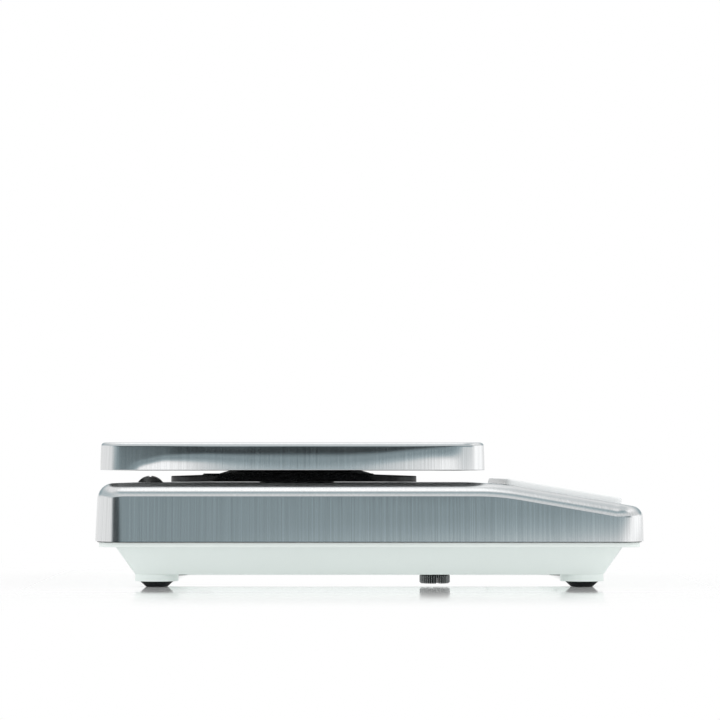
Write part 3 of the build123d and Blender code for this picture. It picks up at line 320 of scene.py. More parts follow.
finishes = {
    "stainless": inside_steel,
    "black_casting": moulded(
        "black_powder_coat", (0.006, 0.007, 0.008), 0.28, grain=0.1, drift=0.2, ior=1.8),
    "black_rubber": moulded("black_rubber", (0.006, 0.008, 0.009), 0.62, grain=0.35, drift=0.3, ior=1.3),
    "white_moulding": moulded("white_plastic", (0.86, 0.925, 0.90), 0.40),
    "panel_moulding": moulded("panel_plastic", (0.90, 0.92, 0.92), 0.26, grain=0.06),
    "key_moulding": moulded("key_rubber", (0.20, 0.22, 0.24), 0.55, grain=0.25),
    "gauge_coating": moulded("gauge_lacquer", (0.62, 0.66, 0.60), 0.35),
    "washer_nylon": moulded("nylon", (0.78, 0.77, 0.72), 0.45),
    "component_black": moulded("component_black", (0.022, 0.022, 0.024), 0.5, grain=0.3),
    "cable_sheath": moulded("cable_sheath", (0.30, 0.31, 0.32), 0.5),
    "lead_sheath": moulded("lead_sheath", (0.42, 0.03, 0.03), 0.45),
    "display_glass": moulded("display_glass", (0.40, 0.45, 0.38), 0.25, grain=0.02),
    "cell_aluminium": plain_metal("milled_aluminium", (0.74, 0.75, 0.76), 0.38, (30.0, 1200.0, 1200.0)),
    "zinc_steel": plain_metal("zinc_plate", (0.60, 0.61, 0.62), 0.42),
    "screw_nickel": plain_metal("nickel_plate", (0.52, 0.52, 0.51), 0.20),
    "insert_brass": plain_metal("turned_brass", (0.70, 0.48, 0.18), 0.30),
}
print(len(finishes), "plain finishes")


# %% [markdown]
# ## Window, thumb screw, battery and board
#
# Four parts carry a pattern that belongs to their own shape: a printed border, upright grooves
# whose colour is darkened as painted shade, a band and fine copper lines. They could be painted as
# pictures. Here each is a formula of the place on the part, measured from the imported part's box, so
# it stays sharp at any distance.

# %% Window and thumb screw
WINDOW_PRINT = 2.4 * MM
SCREW_RIDGES = 40.0
GROOVE_EDGE = (-0.55, 0.75)


def clear_acrylic():
    """Clear window with a dark printed border: the print is where the place is near the window's own edge."""
    f = Finish("clear_acrylic")
    low, high = np.array(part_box("display_window"))
    middle, half = (low + high) / 2, (high - low) / 2 - WINDOW_PRINT
    x, y, _ = f.axes(f.place())
    inside = f.smooth(abs(x - middle[0]), half[0] - EDGE, half[0], 1.0, 0.0)
    inside = inside * f.smooth(abs(y - middle[1]), half[1] - EDGE, half[1], 1.0, 0.0)
    haze = f.smooth(f.noise((45.0, 9.0, 45.0), detail=4.0), 0.45, 0.8)
    clear = f.shader(Base_Color=(0.97, 0.98, 0.98, 1.0), Roughness=0.03 + haze * 0.05,
                     Transmission_Weight=1.0, IOR=1.49)
    border = f.shader(Base_Color=(0.03, 0.035, 0.04, 1.0), Roughness=0.06 + haze * 0.05)
    return f.close(f.node("MixShader", inputs={0: inside, 1: border, 2: clear}))


def ridged_steel():
    """Turned head with upright grooves: the turn about its own axis, times the grooves, gives their phase;
    the colour is darkened in the grooves as painted shade.
    """
    f = Finish("ridged_steel")
    low, high = np.array(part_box("lock_screw"))
    middle = (low + high) / 2
    x, y, _ = f.axes(f.place())
    turn = x.math("ARCTAN2", y - middle[1], x - middle[0])
    groove = f.smooth(turn.math("COSINE", turn * SCREW_RIDGES), *GROOVE_EDGE)
    wear = f.noise((700.0, 700.0, 200.0), detail=3.0)
    # painted shade: the base colour darkens in the grooves, where shade falls; the wear noise is a real,
    # random tone
    tone = (1.0 - groove * 0.93) * (0.8 + wear * 0.4)
    return f.close(f.shader(
        Base_Color=f.tint(tone, (0.20, 0.21, 0.21)), Metallic=1.0, Roughness=0.24 + groove * 0.3))


finishes["clear_window"] = clear_acrylic()
finishes["thumb_screw_steel"] = ridged_steel()
print("border of", WINDOW_PRINT / MM, "mm and", SCREW_RIDGES, "grooves")


# %% Battery and board
BAND_START = (0.715, 0.725)
BOARD_LINES = (90.0, 160.0, 160.0)
LINE_HEIGHT = 0.04 * MM


def battery_sleeve():
    """Dark lacquered can with a plain silver band over the terminal end of its length."""
    f = Finish("battery_sleeve")
    low, high = np.array(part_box("battery"))
    long_axis = int(np.argmax(high - low))
    along = (f.axes(f.place())[long_axis] - low[long_axis]) / (high - low)[long_axis]
    band = f.smooth(along, *BAND_START)
    scuff = f.smooth(f.noise(160.0, detail=6.0, rough=0.7), 0.56, 0.74)
    base = f.mix(band, (0.018, 0.020, 0.024, 1.0), (0.55, 0.56, 0.57, 1.0))
    return f.close(f.shader(
        Base_Color=f.mix(scuff * 0.25, base, (0.30, 0.30, 0.30, 1.0)), Metallic=band * 0.8,
        Roughness=0.28 + scuff * 0.2, Normal=f.rounded(EDGE)))


def solder_mask():
    """Green board with paler copper lines under the mask: the joints of a long, narrow brick pattern."""
    f = Finish("solder_mask")
    spread = f.node("Mapping", inputs={"Vector": f.place(), "Scale": BOARD_LINES})
    lines = f.node("TexBrick", 1, inputs={
        "Vector": spread, "Scale": 1.0, "Mortar Size": 0.06, "Mortar Smooth": 0.1,
        "Brick Width": 0.9, "Row Height": 0.25})
    weave = f.noise(1800.0)
    base = f.mix(lines, (0.012, 0.105, 0.045, 1.0), (0.05, 0.23, 0.10, 1.0))
    return f.close(f.shader(
        Base_Color=base, Roughness=0.24 + weave * 0.12,
        Normal=f.bump(lines + weave * 0.2, 0.25, LINE_HEIGHT)))


finishes["battery_can"] = battery_sleeve()
finishes["circuit_board"] = solder_mask()
node_slots = {row["node"]: row["material_slot"] for row in frame["record"]["subparts"]}
for node_name, node_object in frame["nodes"].items():
    node_object.data.materials.clear()
    node_object.data.materials.append(finishes[node_slots[node_name]])
print(len(finishes), "finishes on", len(node_slots), "nodes")


# %% [markdown]
# ## Sheet-metal outlines
#
# Both drawn shells have a rounded rectangle for a plan. Walking it once as a core point and an
# outward direction makes every inset of it one sum, so walls, fillets and tops become grids.

# %% Outline helpers
CORNER_FINENESS = 2.5
LEAST_CORNER_STEPS = 8


def rounded_outline(half_x, half_y, corner, split_x, step):
    """Rounded rectangle walked anticlockwise: core points, outward directions, and the half-way index.

    The outline at an inset d is core + (corner - d) * outward. Along a side the core point slides and
    the direction stands; in a corner the core point stands and the direction turns a quarter.
    The walk starts where the +Y side crosses split_x, and the index is where the -Y side crosses it.
    """
    cx = half_x - corner
    cy = half_y - corner
    quarter_steps = max(LEAST_CORNER_STEPS, int(corner * radians(90) / step * CORNER_FINENESS))
    marks = [
        (split_x, cy, 90), (-cx, cy, 90), (-cx, cy, 180), (-cx, -cy, 180), (-cx, -cy, 270),
        (split_x, -cy, 270), (cx, -cy, 270), (cx, -cy, 360), (cx, cy, 360), (cx, cy, 450), (split_x, cy, 450),
    ]
    spans = []
    for (x0, y0, a0), (x1, y1, a1) in zip(marks, marks[1:]):
        count = quarter_steps if a1 != a0 else max(2, int(np.hypot(x1 - x0, y1 - y0) / step))
        t = np.linspace(0, 1, count, endpoint=False)[:, None]
        spans.append(np.array([x0, y0, radians(a0)]) * (1 - t) + np.array([x1, y1, radians(a1)]) * t)
    half_way = sum(len(span) for span in spans[:5])
    walk = np.concatenate(spans)
    outward = np.stack([np.cos(walk[:, 2]), np.sin(walk[:, 2])], axis=1)
    return walk[:, :2], outward, half_way


def between(first, last, rows):
    """Rows of points on straight lines from one ring to another, both ends included."""
    t = np.linspace(0, 1, rows)[:, None, None]
    return first * (1 - t) + last * t


print("a corner has at least", LEAST_CORNER_STEPS, "steps")


# %% Mesh helpers
WELD = 0.002 * MM
SHARP = radians(40)
SHEET = 1.0 * MM
CUT_EDGE = 0.15 * MM
CUT_ANGLE = radians(50)


def grid_quads(rows, columns, first=0):
    """Quads of a grid that closes on itself along its columns, numbered from a first vertex."""
    i, j = np.meshgrid(np.arange(rows - 1), np.arange(columns), indexing="ij")
    k = (j + 1) % columns
    corners = [i * columns + j, i * columns + k, (i + 1) * columns + k, (i + 1) * columns + j]
    return first + np.stack(corners, axis=-1).reshape(-1, 4)


def make_piece(name, grids, body, material, node=None):
    """Join grids of points, each rows x columns x 3, into one welded, smooth mesh object on a body."""
    points = np.concatenate([grid.reshape(-1, 3) for grid in grids])
    starts = np.cumsum([0] + [grid.shape[0] * grid.shape[1] for grid in grids])
    quads = np.concatenate([
        grid_quads(grid.shape[0], grid.shape[1], start) for grid, start in zip(grids, starts)
    ])
    key = np.round(points / WELD).astype(np.int64)
    kept, number = np.unique(key, axis=0, return_index=True, return_inverse=True)[1:]
    quads = number.reshape(-1)[quads]
    whole = [list(dict.fromkeys(quad)) for quad in quads.tolist()]
    mesh = bpy.data.meshes.new(name)
    mesh.from_pydata(points[kept].tolist(), [], [face for face in whole if len(face) > 2])
    mesh.shade_smooth()
    mesh.set_sharp_from_angle(angle=SHARP)
    mesh.materials.append(material)
    piece = bpy.data.objects.new(name, mesh)
    bpy.context.scene.collection.objects.link(piece)
    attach(piece, body)
    if node:
        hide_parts(node)
    print(name, len(mesh.vertices), "points", len(mesh.polygons), "faces")
    return piece


def sheet_wall(piece):
    """Give a skin its sheet thickness, inwards and with the dull inside, and break the cut edges."""
    piece.data.materials.append(inside_steel)
    wall = piece.modifiers.new("sheet", "SOLIDIFY")
    wall.thickness = SHEET
    wall.offset = -1.0
    wall.material_offset = 1
    wall.use_even_offset = True
    rim = piece.modifiers.new("broken_edge", "BEVEL")
    rim.width = CUT_EDGE
    rim.segments = 2
    rim.limit_method = "ANGLE"
    rim.angle_limit = CUT_ANGLE
    rim.harden_normals = True


print("sheet of", SHEET / MM, "mm")


# %% [markdown]
# ## The cover
#
# The cover is a drawn shell with leaning walls, a generous fillet and a top that bends down at a
# soft knee towards the display. The height of the top is a formula of x alone. The lean of the
# walls changes a little along the sides, as it does on pressed sheet, and that is what bends the
# reflections. The fillet is the circle that touches the wall's last lean and the top's own slope,
# solved for every point of the outline at once.

# %% Top of the cover
cover_low, cover_high = np.array(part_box("top_cover"))
bezel_low, bezel_high = np.array(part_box("panel_bezel"))
pan_low, pan_high = np.array(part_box("weighing_pan"))
pan_x = (pan_low[0] + pan_high[0]) / 2
SLOPE = radians(9.6)
KNEE_RADIUS = 110.0 * MM
KNEE_BEHIND_PANEL = 3.65 * MM
knee_start = bezel_low[0] - KNEE_BEHIND_PANEL - KNEE_RADIUS * tan(SLOPE / 2)


def knee_run(x):
    """How far x lies into the knee, from 0 to the knee's whole run."""
    return np.clip(x - knee_start, 0, KNEE_RADIUS * sin(SLOPE))


def top_height(x):
    """Height of the cover's top: flat, then an arc through the knee, then the slope."""
    arc = KNEE_RADIUS - np.sqrt(KNEE_RADIUS**2 - knee_run(x)**2)
    past = np.maximum(x - knee_start - KNEE_RADIUS * sin(SLOPE), 0)
    return cover_high[2] - arc - past * tan(SLOPE)


def top_fall(x):
    """Slope of the top at x, as the fall per length."""
    return knee_run(x) / np.sqrt(KNEE_RADIUS**2 - knee_run(x)**2)


print("knee starts at x =", round(knee_start / MM, 2), "mm")


# %% Wall of the cover
COVER_CORNER = 13.5 * MM
COVER_FILLET = 7.0 * MM
COVER_REAR_FILLET = 0.4 * MM
COVER_FRONT_FILLET = -1.6 * MM
COVER_BOW_PLACES = [-112.0, -98.0, -36.0, 36.0, 85.0, 108.0]
COVER_LEAN_LOW = [4.1, 4.2, 3.3, 2.7, 2.3, 2.0]
COVER_LEAN_HIGH = [4.1, 4.2, 4.2, 4.6, 3.6, 2.8]
COVER_LEAN_SHORT = (3.0, 4.4)
COVER_FRONT_SHARE = 0.35
COVER_REAR_SHARE = 0.7
COVER_CREASE = radians(5.0)
COVER_SPLIT = 30.0 * MM
COVER_STEP = 2.5 * MM
COVER_WALL_ROWS = np.append(np.linspace(0, 1, 9, endpoint=False), 0.9975)
COVER_FILLET_ROWS = np.concatenate([[0, 0.006], np.linspace(0.05, 1, 18)])
FILLET_ROUNDS = 6


def long_share(outward):
    """Share of the long sides: all of them and half of each corner, then fading as 2 * outward_y^2."""
    return np.minimum(2 * outward[:, 1]**2, 1)


def along_side(core, outward, places, values, short):
    """Values read along the long sides, by millimetres from their middle, and one for the short sides."""
    share = long_share(outward)
    on_long = np.interp(-core[:, 0] * np.sign(outward[:, 1]) / MM, places, values)
    return share * on_long + (1 - share) * short


def cover_wall():
    """Wall and fillet of the cover as rings of the outline, and the outline's half-way index.

    The wall's lean goes evenly from low to high, so its inset is the mean slope times the height.
    A slight crease, which fades in the corners, starts the fillet. The fillet's centre lies one radius
    from the line that leaves the wall at the crease's lean and one radius below the top. The height
    where wall and fillet meet depends on that centre, so both are found in a few rounds.
    """
    core, outward, half_way = rounded_outline(*cover_high[:2], COVER_CORNER, COVER_SPLIT, COVER_STEP)
    ahead, behind = np.maximum(outward[:, 0], 0), np.maximum(-outward[:, 0], 0)
    share = 1 - (1 - COVER_FRONT_SHARE) * ahead - (1 - COVER_REAR_SHARE) * behind
    low_lean, high_lean = (
        share * np.radians(along_side(core, outward, COVER_BOW_PLACES, row, short))
        for row, short in zip((COVER_LEAN_LOW, COVER_LEAN_HIGH), COVER_LEAN_SHORT)
    )
    mean_slope = (np.tan(low_lean) + np.tan(high_lean)) / 2
    radius = COVER_FILLET + COVER_REAR_FILLET * behind + COVER_FRONT_FILLET * ahead
    edge_x = core[:, 0] + COVER_CORNER * outward[:, 0]
    rise = np.arctan(top_fall(edge_x) * outward[:, 0])
    rim_z = cover_low[2]
    top_line = top_height(edge_x) * np.cos(rise) - radius
    first = high_lean + COVER_CREASE * (outward[:, 0]**2 - outward[:, 1]**2)**2
    spread = np.cos(first + rise)
    tangent_z = cover_high[2] - radius
    for _ in range(FILLET_ROUNDS):
        start = (mean_slope - np.tan(first)) * (tangent_z - rim_z)
        wall_line = radius + start * np.cos(first) - np.sin(first) * rim_z
        centre_d = (wall_line * np.cos(rise) + np.sin(first) * top_line) / spread
        centre_z = (np.cos(first) * top_line + np.sin(rise) * wall_line) / spread
        tangent_z = centre_z + radius * np.sin(first)
    along = COVER_FILLET_ROWS[:, None]
    turn = (np.pi - first) * (1 - along) + (np.pi / 2 + rise) * along
    climb = COVER_WALL_ROWS[:, None]
    lean_gain = (np.tan(high_lean) - np.tan(low_lean)) / 2 * climb
    wall_inset = climb * (tangent_z - rim_z) * (np.tan(low_lean) + lean_gain)
    inset = np.concatenate([wall_inset, centre_d + radius * np.cos(turn)])[..., None]
    height = np.concatenate([
        rim_z + climb * (tangent_z - rim_z), centre_z + radius * np.sin(turn)
    ])[..., None]
    return np.concatenate([core + (COVER_CORNER - inset) * outward, height], axis=-1), half_way


cover_rings, cover_half_way = cover_wall()
print(cover_rings.shape[0], "rings of", cover_rings.shape[1], "points")


# %% Cover as one piece
POST_HOLE_RADIUS = 22.0 * MM
PANEL_FLANGE = 5.0 * MM
TOP_ACROSS = 60
REAR_RINGS = 34
FRONT_RINGS = 40


def cover_top(brow, half_way):
    """The top in two parts: from the fillet to the post hole behind, and to the panel opening in front."""
    across = between(brow[half_way], brow[0], TOP_ACROSS)[:, 0][1:-1]
    rear = np.concatenate([brow[: half_way + 1], across])
    front = np.concatenate([brow[half_way:], brow[:1], across[::-1]])
    hole = np.array([pan_x, 0.0])
    ray = rear - hole
    rear_ring = hole + POST_HOLE_RADIUS * ray / np.linalg.norm(ray, axis=1, keepdims=True)
    opening = np.array([(bezel_low[0] + bezel_high[0]) / 2, 0.0])
    reach = np.array([(bezel_high[0] - bezel_low[0]) / 2, bezel_high[1]]) - PANEL_FLANGE
    ray = front - opening
    front_ring = opening + ray / np.max(np.abs(ray) / reach, axis=1, keepdims=True)
    tops = [between(rear, rear_ring, REAR_RINGS), between(front, front_ring, FRONT_RINGS)]
    return [np.concatenate([top, top_height(top[..., :1])], axis=-1) for top in tops]


cover_grids = [cover_rings] + cover_top(cover_rings[-1, :, :2], cover_half_way)
cover = make_piece("cover_shell", cover_grids, "base", cover_steel, "top_cover")
sheet_wall(cover)


# %% [markdown]
# ## The pan
#
# The pan is a shallow square tray turned upside down. Its walls bow out a little, as drawn sheet
# does when it springs back, so one wall sweeps through a wide part of the room in its reflection.
# Straight walls would show one flat tone. So a wall stands nearly upright at its lower edge and leans
# in above a soft fold, and the height of that fold changes along the side.

# %% Pan surface
PAN_CORNER = 10.5 * MM
PAN_FILLET = 1.7 * MM
PAN_BOW_PLACES = [-74.0, -69.0, -58.0, -39.0, -24.0, 0.0, 25.0, 39.0, 62.0, 71.0, 76.0]
PAN_LEAN_LOW = [0.2, 0.1, 0.0, 1.0, 1.5, 1.8, 1.75, 1.2, 0.7, 0.15, 0.85]
PAN_LEAN_HIGH = [4.4, 4.5, 4.6, 5.4, 5.5, 5.3, 5.4, 5.4, 5.8, 4.6, 0.85]
PAN_FOLD_HEIGHT = [-0.3, 0.22, 0.46, 0.54, 0.50, 0.44, 0.48, 0.54, 0.78, 0.72, 0.72]
PAN_FOLD_WIDTH = [0.25, 0.20, 0.20, 0.32, 0.40, 0.50, 0.46, 0.42, 0.42, 0.42, 0.42]
PAN_SHORT = (0.8, 2.2, 0.5, 0.5)
PAN_STEP = 2.0 * MM
PAN_ROWS = 25
PAN_EDGE_ROWS = 13
PAN_LID_RINGS = 22


def pan_skin():
    """Wall, edge and lid of the pan, as rings of the outline.

    The wall's lean eases from low to high round a fold height, and its inset is the sum of the slopes,
    moved along the long sides so that the upper edge is straight.
    The edge is an arc from the wall's last lean to level, and the lid closes to the middle.
    """
    half_x, half_y = (pan_high[:2] - pan_low[:2]) / 2
    core, outward, _ = rounded_outline(half_x, half_y, PAN_CORNER, 0.0, PAN_STEP)
    low, high, fold, width = (
        along_side(core, outward, PAN_BOW_PLACES, row, short)
        for row, short in zip((PAN_LEAN_LOW, PAN_LEAN_HIGH, PAN_FOLD_HEIGHT, PAN_FOLD_WIDTH), PAN_SHORT)
    )
    share = np.linspace(0, 1, PAN_ROWS)[:, None]
    ease = np.clip((share - fold + width) / (2 * width), 0, 1)
    lean = np.radians(low + (high - low) * ease * ease * (3 - 2 * ease))
    wall_height = pan_high[2] - pan_low[2] - PAN_FILLET * (1 - np.sin(lean[-1]))
    steps = np.tan((lean[1:] + lean[:-1]) / 2) * wall_height / (PAN_ROWS - 1)
    wall_d = np.concatenate([np.zeros((1, len(core))), np.cumsum(steps, axis=0)])
    wall_d = wall_d + (wall_d[-1].max() - wall_d[-1]) * long_share(outward)
    wall_z = pan_low[2] + share * wall_height
    level = np.full((len(core), 1), np.pi / 2)
    edge_turn = between(lean[-1][:, None], level, PAN_EDGE_ROWS)[1:, :, 0]
    edge_d = wall_d[-1] + PAN_FILLET * (np.cos(lean[-1]) - np.cos(edge_turn))
    edge_z = wall_z[-1] + PAN_FILLET * (np.sin(edge_turn) - np.sin(lean[-1]))
    inset = np.concatenate([wall_d, edge_d])[..., None]
    height = np.concatenate([wall_z, edge_z])[..., None]
    wall = np.concatenate([core + (PAN_CORNER - inset) * outward, height], axis=-1)
    lid = between(wall[-1], np.zeros_like(wall[-1]) + [0.0, 0.0, pan_high[2]], PAN_LID_RINGS)
    return [grid + [pan_x, 0.0, 0.0] for grid in (wall, lid)]


pan = make_piece("pan_shell", pan_skin(), "pan", pan_steel, "weighing_pan")
sheet_wall(pan)


# %% [markdown]
# ## Painted joint shadow, feet, reading and legends
#
# A thin black strip just under the cover's rim is painted shadow: it stands for the shade in the
# joint and draws the dark line there. The feet are turned profiles with a soft lower edge. The reading
# is built from bars as a display draws it, and the legends are type that becomes a mesh before it is
# laid on the keys. A picture would do for the print as well, but thin meshes stay sharp and ride with
# their keys.

# %% Painted joint shadow
BEAD_HEIGHT = 0.36 * MM
BEAD_INSETS = (0.9 * MM, 1.65 * MM)
BEAD_STEP = 3.0 * MM


def bead():
    """Closed dark section carried round the cover's outline, just under its rim: painted shadow in the joint.
    """
    core, outward, _ = rounded_outline(*cover_high[:2], COVER_CORNER, 0.0, BEAD_STEP)
    outer, inner = BEAD_INSETS
    top = cover_low[2]
    section = [(outer, top - BEAD_HEIGHT), (outer, top), (inner, top), (inner, top - BEAD_HEIGHT)]
    rows = [
        np.column_stack([core + (COVER_CORNER - inset) * outward, np.full(len(core), z)])
        for inset, z in section
    ]
    return np.stack(rows + rows[:1])


# painted shadow: a black strip in the joint under the cover stands for the shade there
make_piece("joint_shadow_strip", [bead()], "base", finishes["black_rubber"])


# %% Feet
FOOT_COLUMNS = 56
FOOT_SOLE = [(0, 0.35), (2.6, 0.35), (3.0, 0.08), (3.2, 0.0)]
TREAD_CENTRE = [(4.4, 1.3)]
TREAD_RADIUS = 1.3
TREAD_TURN = np.radians(np.linspace(-90, -36, 9))
FOOT_TOP_EDGE = (0.2 * MM, 0.25 * MM)


def lathe(profile, x, y):
    """Turn a profile of radius and height round the upright line through x, y."""
    turn = np.linspace(0, 2 * np.pi, FOOT_COLUMNS, endpoint=False)
    radius, height = profile[:, :1], profile[:, 1:]
    return np.stack([x + radius * np.cos(turn), y + radius * np.sin(turn), height + 0 * turn], axis=-1)


def foot_profile(top_radius, height):
    """Hollow sole, a rounded tread, the leaning side and a flat top."""
    circle = np.column_stack([np.cos(TREAD_TURN), np.sin(TREAD_TURN)])
    tread = np.array(TREAD_CENTRE) * MM + TREAD_RADIUS * MM * circle
    edge_in, edge_down = FOOT_TOP_EDGE
    side = np.array([(top_radius, height - edge_down), (top_radius - edge_in, height), (0, height)])
    return np.concatenate([np.array(FOOT_SOLE) * MM, tread, side])


pad_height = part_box("base_tray")[0][2]
for name in [name for name in frame["nodes"] if name.startswith("foot_")]:
    low, high = np.array(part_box(name))
    grid = lathe(foot_profile((high[0] - low[0]) / 2, pad_height), *(low + high)[:2] / 2)
    make_piece(name + "_pad", [grid], "base", finishes["black_rubber"], name)


# %% Reading and legends
PRINT = 0.03 * MM
FACE_DEPTH = 0.02 * MM
DIGIT_WIDTH, DIGIT_HEIGHT, STROKE = 6.4 * MM, 12.0 * MM, 1.5 * MM
BAR_GAP = STROKE * 0.08
ZERO_PLACE, UNIT_PLACE = 18.0 * MM, 27.0 * MM
UNIT_SIZE, LEGEND_SIZE = 7.0 * MM, 3.4 * MM
LEGENDS = {"power_key": "ON/OFF", "tare_key": "TARE", "unit_key": "UNIT", "hold_key": "HOLD"}
panel_normal = np.array([sin(SLOPE), 0.0, cos(SLOPE)])
panel_up = np.array([-cos(SLOPE), 0.0, sin(SLOPE)])
panel_right = np.array([0.0, 1.0, 0.0])


def face_centre(node_name):
    """Middle of the node's face that lies highest along the panel's normal."""
    node = frame["nodes"][node_name]
    flat = np.empty(3 * len(node.data.vertices))
    node.data.vertices.foreach_get("co", flat)
    placed = np.array(node.matrix_world)
    points = flat.reshape(-1, 3) @ placed[:3, :3].T + placed[:3, 3]
    lift = points @ panel_normal
    top = points[lift > lift.max() - FACE_DEPTH]
    return (top.min(axis=0) + top.max(axis=0)) / 2


def on_panel(centre, points):
    """Points given as right, up and lift, laid on the panel round a centre."""
    right, up, lift = points[..., :1], points[..., 1:2], points[..., 2:]
    return centre + right * panel_right + up * panel_up + lift * panel_normal


def bar(start, end):
    """Six corners of a display bar between two ends of the digit's outline, anticlockwise."""
    along = (end - start) / np.linalg.norm(end - start)
    start, end = start + along * BAR_GAP, end - along * BAR_GAP
    along = along * STROKE / 2
    side = np.array([-along[1], along[0]])
    return np.array([
        start, start + along - side, end - along - side, end, end - along + side, start + along + side])


def prism(outline, height):
    """Closed prism over an outline: a middle, two rings and a middle."""
    flat = np.column_stack([outline, np.zeros(len(outline))])
    middle = np.zeros_like(flat) + flat.mean(axis=0)
    lift = np.array([0.0, 0.0, height])
    return np.stack([middle, flat, flat + lift, middle + lift])


def legend(name, words, size, centre, body, slot):
    """Type turned into a thin mesh and laid on the panel round a centre."""
    curve = bpy.data.curves.new(name, "FONT")
    curve.body, curve.size, curve.extrude = words, size, PRINT / 2
    curve.align_x, curve.align_y = "CENTER", "CENTER"
    type_object = bpy.data.objects.new(name, curve)
    bpy.context.scene.collection.objects.link(type_object)
    solved = type_object.evaluated_get(bpy.context.evaluated_depsgraph_get())
    mesh = bpy.data.meshes.new_from_object(solved)
    bpy.data.objects.remove(type_object)
    flat = np.empty(3 * len(mesh.vertices))
    mesh.vertices.foreach_get("co", flat)
    points = flat.reshape(-1, 3) + [0.0, 0.0, PRINT / 2]
    mesh.vertices.foreach_set("co", on_panel(centre, points).ravel())
    mesh.materials.clear()
    mesh.materials.append(finishes[slot])
    piece = bpy.data.objects.new(name, mesh)
    bpy.context.scene.collection.objects.link(piece)
    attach(piece, body)


half_w, half_h = DIGIT_WIDTH / 2, DIGIT_HEIGHT / 2
digit = np.array([
    (-half_w, -half_h), (half_w, -half_h), (half_w, 0), (half_w, half_h), (-half_w, half_h), (-half_w, 0),
    (-half_w, -half_h),
])
glass = face_centre("lcd_panel")
zero = glass + ZERO_PLACE * panel_right
bars = [on_panel(zero, prism(bar(start, end), PRINT)) for start, end in zip(digit, digit[1:])]
make_piece("reading_zero", bars, "base", finishes["component_black"])
legend("reading_unit", "g", UNIT_SIZE, glass + UNIT_PLACE * panel_right, "base", "component_black")
for key, words in LEGENDS.items():
    legend(key + "_legend", words, LEGEND_SIZE, face_centre(key), key, "panel_moulding")
print(len(LEGENDS), "legends and a reading")


# %% [markdown]
# ## Floor, camera and light
#
# The scale stands on a plain pale glossy floor in a white studio. The camera faces the long side
# from low down, tilted a little upwards, with a long lens. Brushed steel shows the room, and lamps
# would show as spots. So the room is written by direction: white overhead and behind, and a soft
# grey card in front with a dark band, which the walls and fillets of the shells sweep through.

# %% Stage
FLOOR_RADIUS = 9.0
FLOOR_COLUMNS = 96
FLOOR_GLOW = 1.0
FLOOR_MATT = 0.85
FLOOR_LIT = 0.97
FLOOR_STRIP = (-0.006, 0.006, 0.03, 0.18)
FOOT_REACH = (0.097, 0.0613)
WHITE = (1.0, 1.0, 1.0)
CAMERA_PLACE = (-0.00425, -1.138, 0.0513)
CAMERA_PITCH = 2.778
LENS = 117.5
SENSOR = 36.0
NEAR_CLIP = 0.01


def floor_finish():
    """White sheet, seen from above only.

    In a strip round the feet it is coated, and takes the reflection and the soft shade of the scale;
    elsewhere it glows evenly. How far a place lies beyond the rectangle of the feet is the greater of
    its two overshoots.
    """
    f = Finish("pale_floor")
    x, y, _ = f.axes(f.place())
    beyond = x.math("MAXIMUM", abs(x) - FOOT_REACH[0], abs(y) - FOOT_REACH[1])
    strip = f.window(beyond, *FLOOR_STRIP)
    matt = strip * FLOOR_MATT
    sheet = f.shader(
        Base_Color=f.tint(matt, (0.9, 0.9, 0.9)), Roughness=1.0, Specular_IOR_Level=0.0,
        Coat_Weight=strip, Coat_Roughness=0.07, Coat_IOR=1.7,
        Emission_Color=f.tint(1.0 - matt * FLOOR_LIT, WHITE), Emission_Strength=FLOOR_GLOW)
    below = f.node("NewGeometry", "Backfacing")
    return f.close(f.node("MixShader", inputs={0: below, 1: sheet, 2: f.node("BsdfTransparent")}))


turn = np.linspace(0, 2 * np.pi, FLOOR_COLUMNS, endpoint=False)
rim = np.stack([np.cos(turn), np.sin(turn), 0 * turn], axis=1) * FLOOR_RADIUS
floor_mesh = bpy.data.meshes.new("floor")
floor_mesh.from_pydata(rim.tolist(), [], [list(range(FLOOR_COLUMNS))])
floor_mesh.materials.append(floor_finish())
floor = bpy.data.objects.new("floor", floor_mesh)
bpy.context.scene.collection.objects.link(floor)

camera_data = bpy.data.cameras.new("camera")
camera_data.lens = LENS
camera_data.sensor_width = SENSOR
camera_data.clip_start = NEAR_CLIP
camera = bpy.data.objects.new("camera", camera_data)
camera.location = CAMERA_PLACE
camera.rotation_euler = (radians(90 + CAMERA_PITCH), 0.0, 0.0)
bpy.context.scene.collection.objects.link(camera)
bpy.context.scene.camera = camera
bpy.context.scene.view_settings.view_transform = "Standard"
print("camera at", CAMERA_PLACE)


# %% Studio light
LOW, HIGH = -6.0, 90.0
FRONT_BANDS = [
    (-6.0, 1.1), (0.0, 1.35), (1.0, 1.20), (2.0, 0.84), (3.0, 0.58), (4.2, 0.45), (5.2, 0.40), (6.2, 0.345),
    (7.0, 0.37), (7.6, 0.385), (8.4, 0.33), (8.9, 0.30), (9.4, 0.22), (9.8, 0.08), (10.2, 0.02), (12.0, 0.02),
    (12.5, 0.30), (13.0, 0.55), (15.0, 0.68), (20.0, 0.82), (27.0, 0.85), (33.0, 0.80), (44.0, 0.52),
    (50.0, 0.50), (57.0, 0.90), (62.0, 1.35), (68.0, 1.50), (90.0, 1.50),
]
BACK_BANDS = [
    (-6.0, 1.0), (6.5, 1.0), (10.0, 0.50), (14.0, 0.36), (20.0, 0.50), (35.0, 0.85), (50.0, 1.0),
    (70.0, 1.30), (90.0, 1.50),
]
COOL_GREY = (0.80, 1.0, 1.07)
COOL_SHADES = (0.35, 0.95)
WALL_HEIGHTS = (2.5, 4.5, 7.4, 8.1)
LEFT_FLAG, LEFT_FLAG_DEPTH = (-48.0, -44.0, -20.0, -9.0), 0.88
RIGHT_FLAG, RIGHT_FLAG_DEPTH = (26.0, 34.0, 50.0, 60.0), 0.15
SOFT_LEFT, HARD_LEFT = (-84.0, -7.0), (-50.0, -46.0)
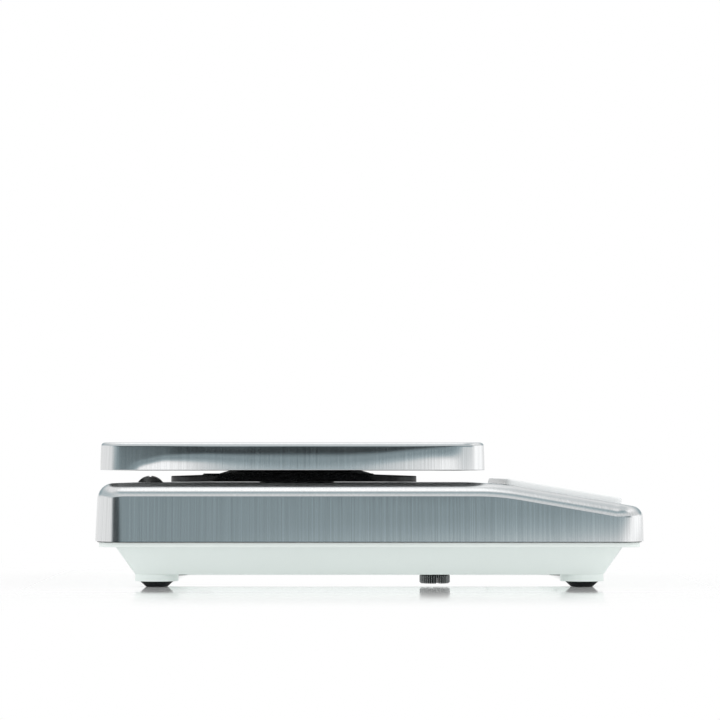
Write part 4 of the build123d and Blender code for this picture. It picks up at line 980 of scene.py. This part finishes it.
RIGHT_CARD, RIGHT_CARD_LIGHT = (58.0, 76.0), 1.32
HAZE_HEIGHTS, HAZE_DEPTH = (10.0, 18.0, 30.0, 48.0), 0.35
BACK_BEARINGS = (112.0, 140.0)
SKY_HEIGHTS, SKY_BEARINGS, SKY_DEPTH = (45.0, 60.0), (8.0, 40.0, 140.0, 172.0), 0.42
MATT_LIGHT, MATT_SIDES, MATT_SIDE_LIGHT = 1.09, (45.0, 80.0, 100.0, 135.0), 0.6
MATT_HEIGHTS, MATT_OVERHEAD = (25.0, 65.0), 0.66


def studio():
    """World colour by direction, in degrees: soft white for matt surfaces, a room of cards for gloss."""
    world = bpy.data.worlds.new("studio")
    world.use_nodes = True
    world.cycles.sampling_method = "NONE"
    t = Tree(world.node_tree)
    x, y, z = t.axes(t.node("TexCoord", "Generated"))
    degree = 180.0 / np.pi
    height = z.math("ARCSINE", z) * degree
    bearing = x.math("ARCTAN2", x, 0.0 - y) * degree

    def bands(stops):
        """Grey by height, from pairs of degrees and brightness."""
        ramp = t.node("ValToRGB", stops=[((e - LOW) / (HIGH - LOW), v) for e, v in stops], inputs={
            "Fac": (height - LOW) / (HIGH - LOW)})
        return t.axes(ramp)[0]

    wall_high = t.window(height, *WALL_HEIGHTS)
    left_flag = t.window(bearing, *LEFT_FLAG) * wall_high
    right_flag = t.window(bearing, *RIGHT_FLAG) * wall_high
    front = bands(FRONT_BANDS) * (1.0 - left_flag * LEFT_FLAG_DEPTH) * (1.0 - right_flag * RIGHT_FLAG_DEPTH)
    soft_left = t.smooth(bearing, *SOFT_LEFT, 1.0, 0.0)
    hard_left = t.smooth(bearing, *HARD_LEFT, 1.0, 0.0)
    left = soft_left + (hard_left - soft_left) * wall_high
    right = t.smooth(bearing, *RIGHT_CARD)
    haze = 1.0 - t.window(height, *HAZE_HEIGHTS) * HAZE_DEPTH
    near = front * (1.0 - left - right) + (left + right * RIGHT_CARD_LIGHT) * haze
    back = t.smooth(abs(bearing), *BACK_BEARINGS)
    sky = t.smooth(height, *SKY_HEIGHTS) * t.window(bearing, *SKY_BEARINGS)
    shade = (near * (1.0 - back) + bands(BACK_BANDS) * back) * (1.0 - sky * SKY_DEPTH)
    room = t.mix(t.smooth(shade, *COOL_SHADES), t.tint(shade, COOL_GREY), t.tint(shade, WHITE))
    sides = t.window(abs(bearing), *MATT_SIDES)
    even = (MATT_LIGHT + sides * MATT_SIDE_LIGHT) * t.smooth(height, *MATT_HEIGHTS, 1.0, MATT_OVERHEAD)
    matt = t.mix(t.node("LightPath", "Is Diffuse Ray"), room, t.tint(even, WHITE))
    colour = t.mix(t.node("LightPath", "Is Camera Ray"), matt, (*WHITE, 1.0))
    light = t.node("Background", inputs={"Color": colour, "Strength": 1.0})
    end = t.tree.nodes.new("ShaderNodeOutputWorld")
    t.tree.links.new(light.socket, end.inputs["Surface"])
    return world


bpy.context.scene.world = studio()
print("studio light by direction")
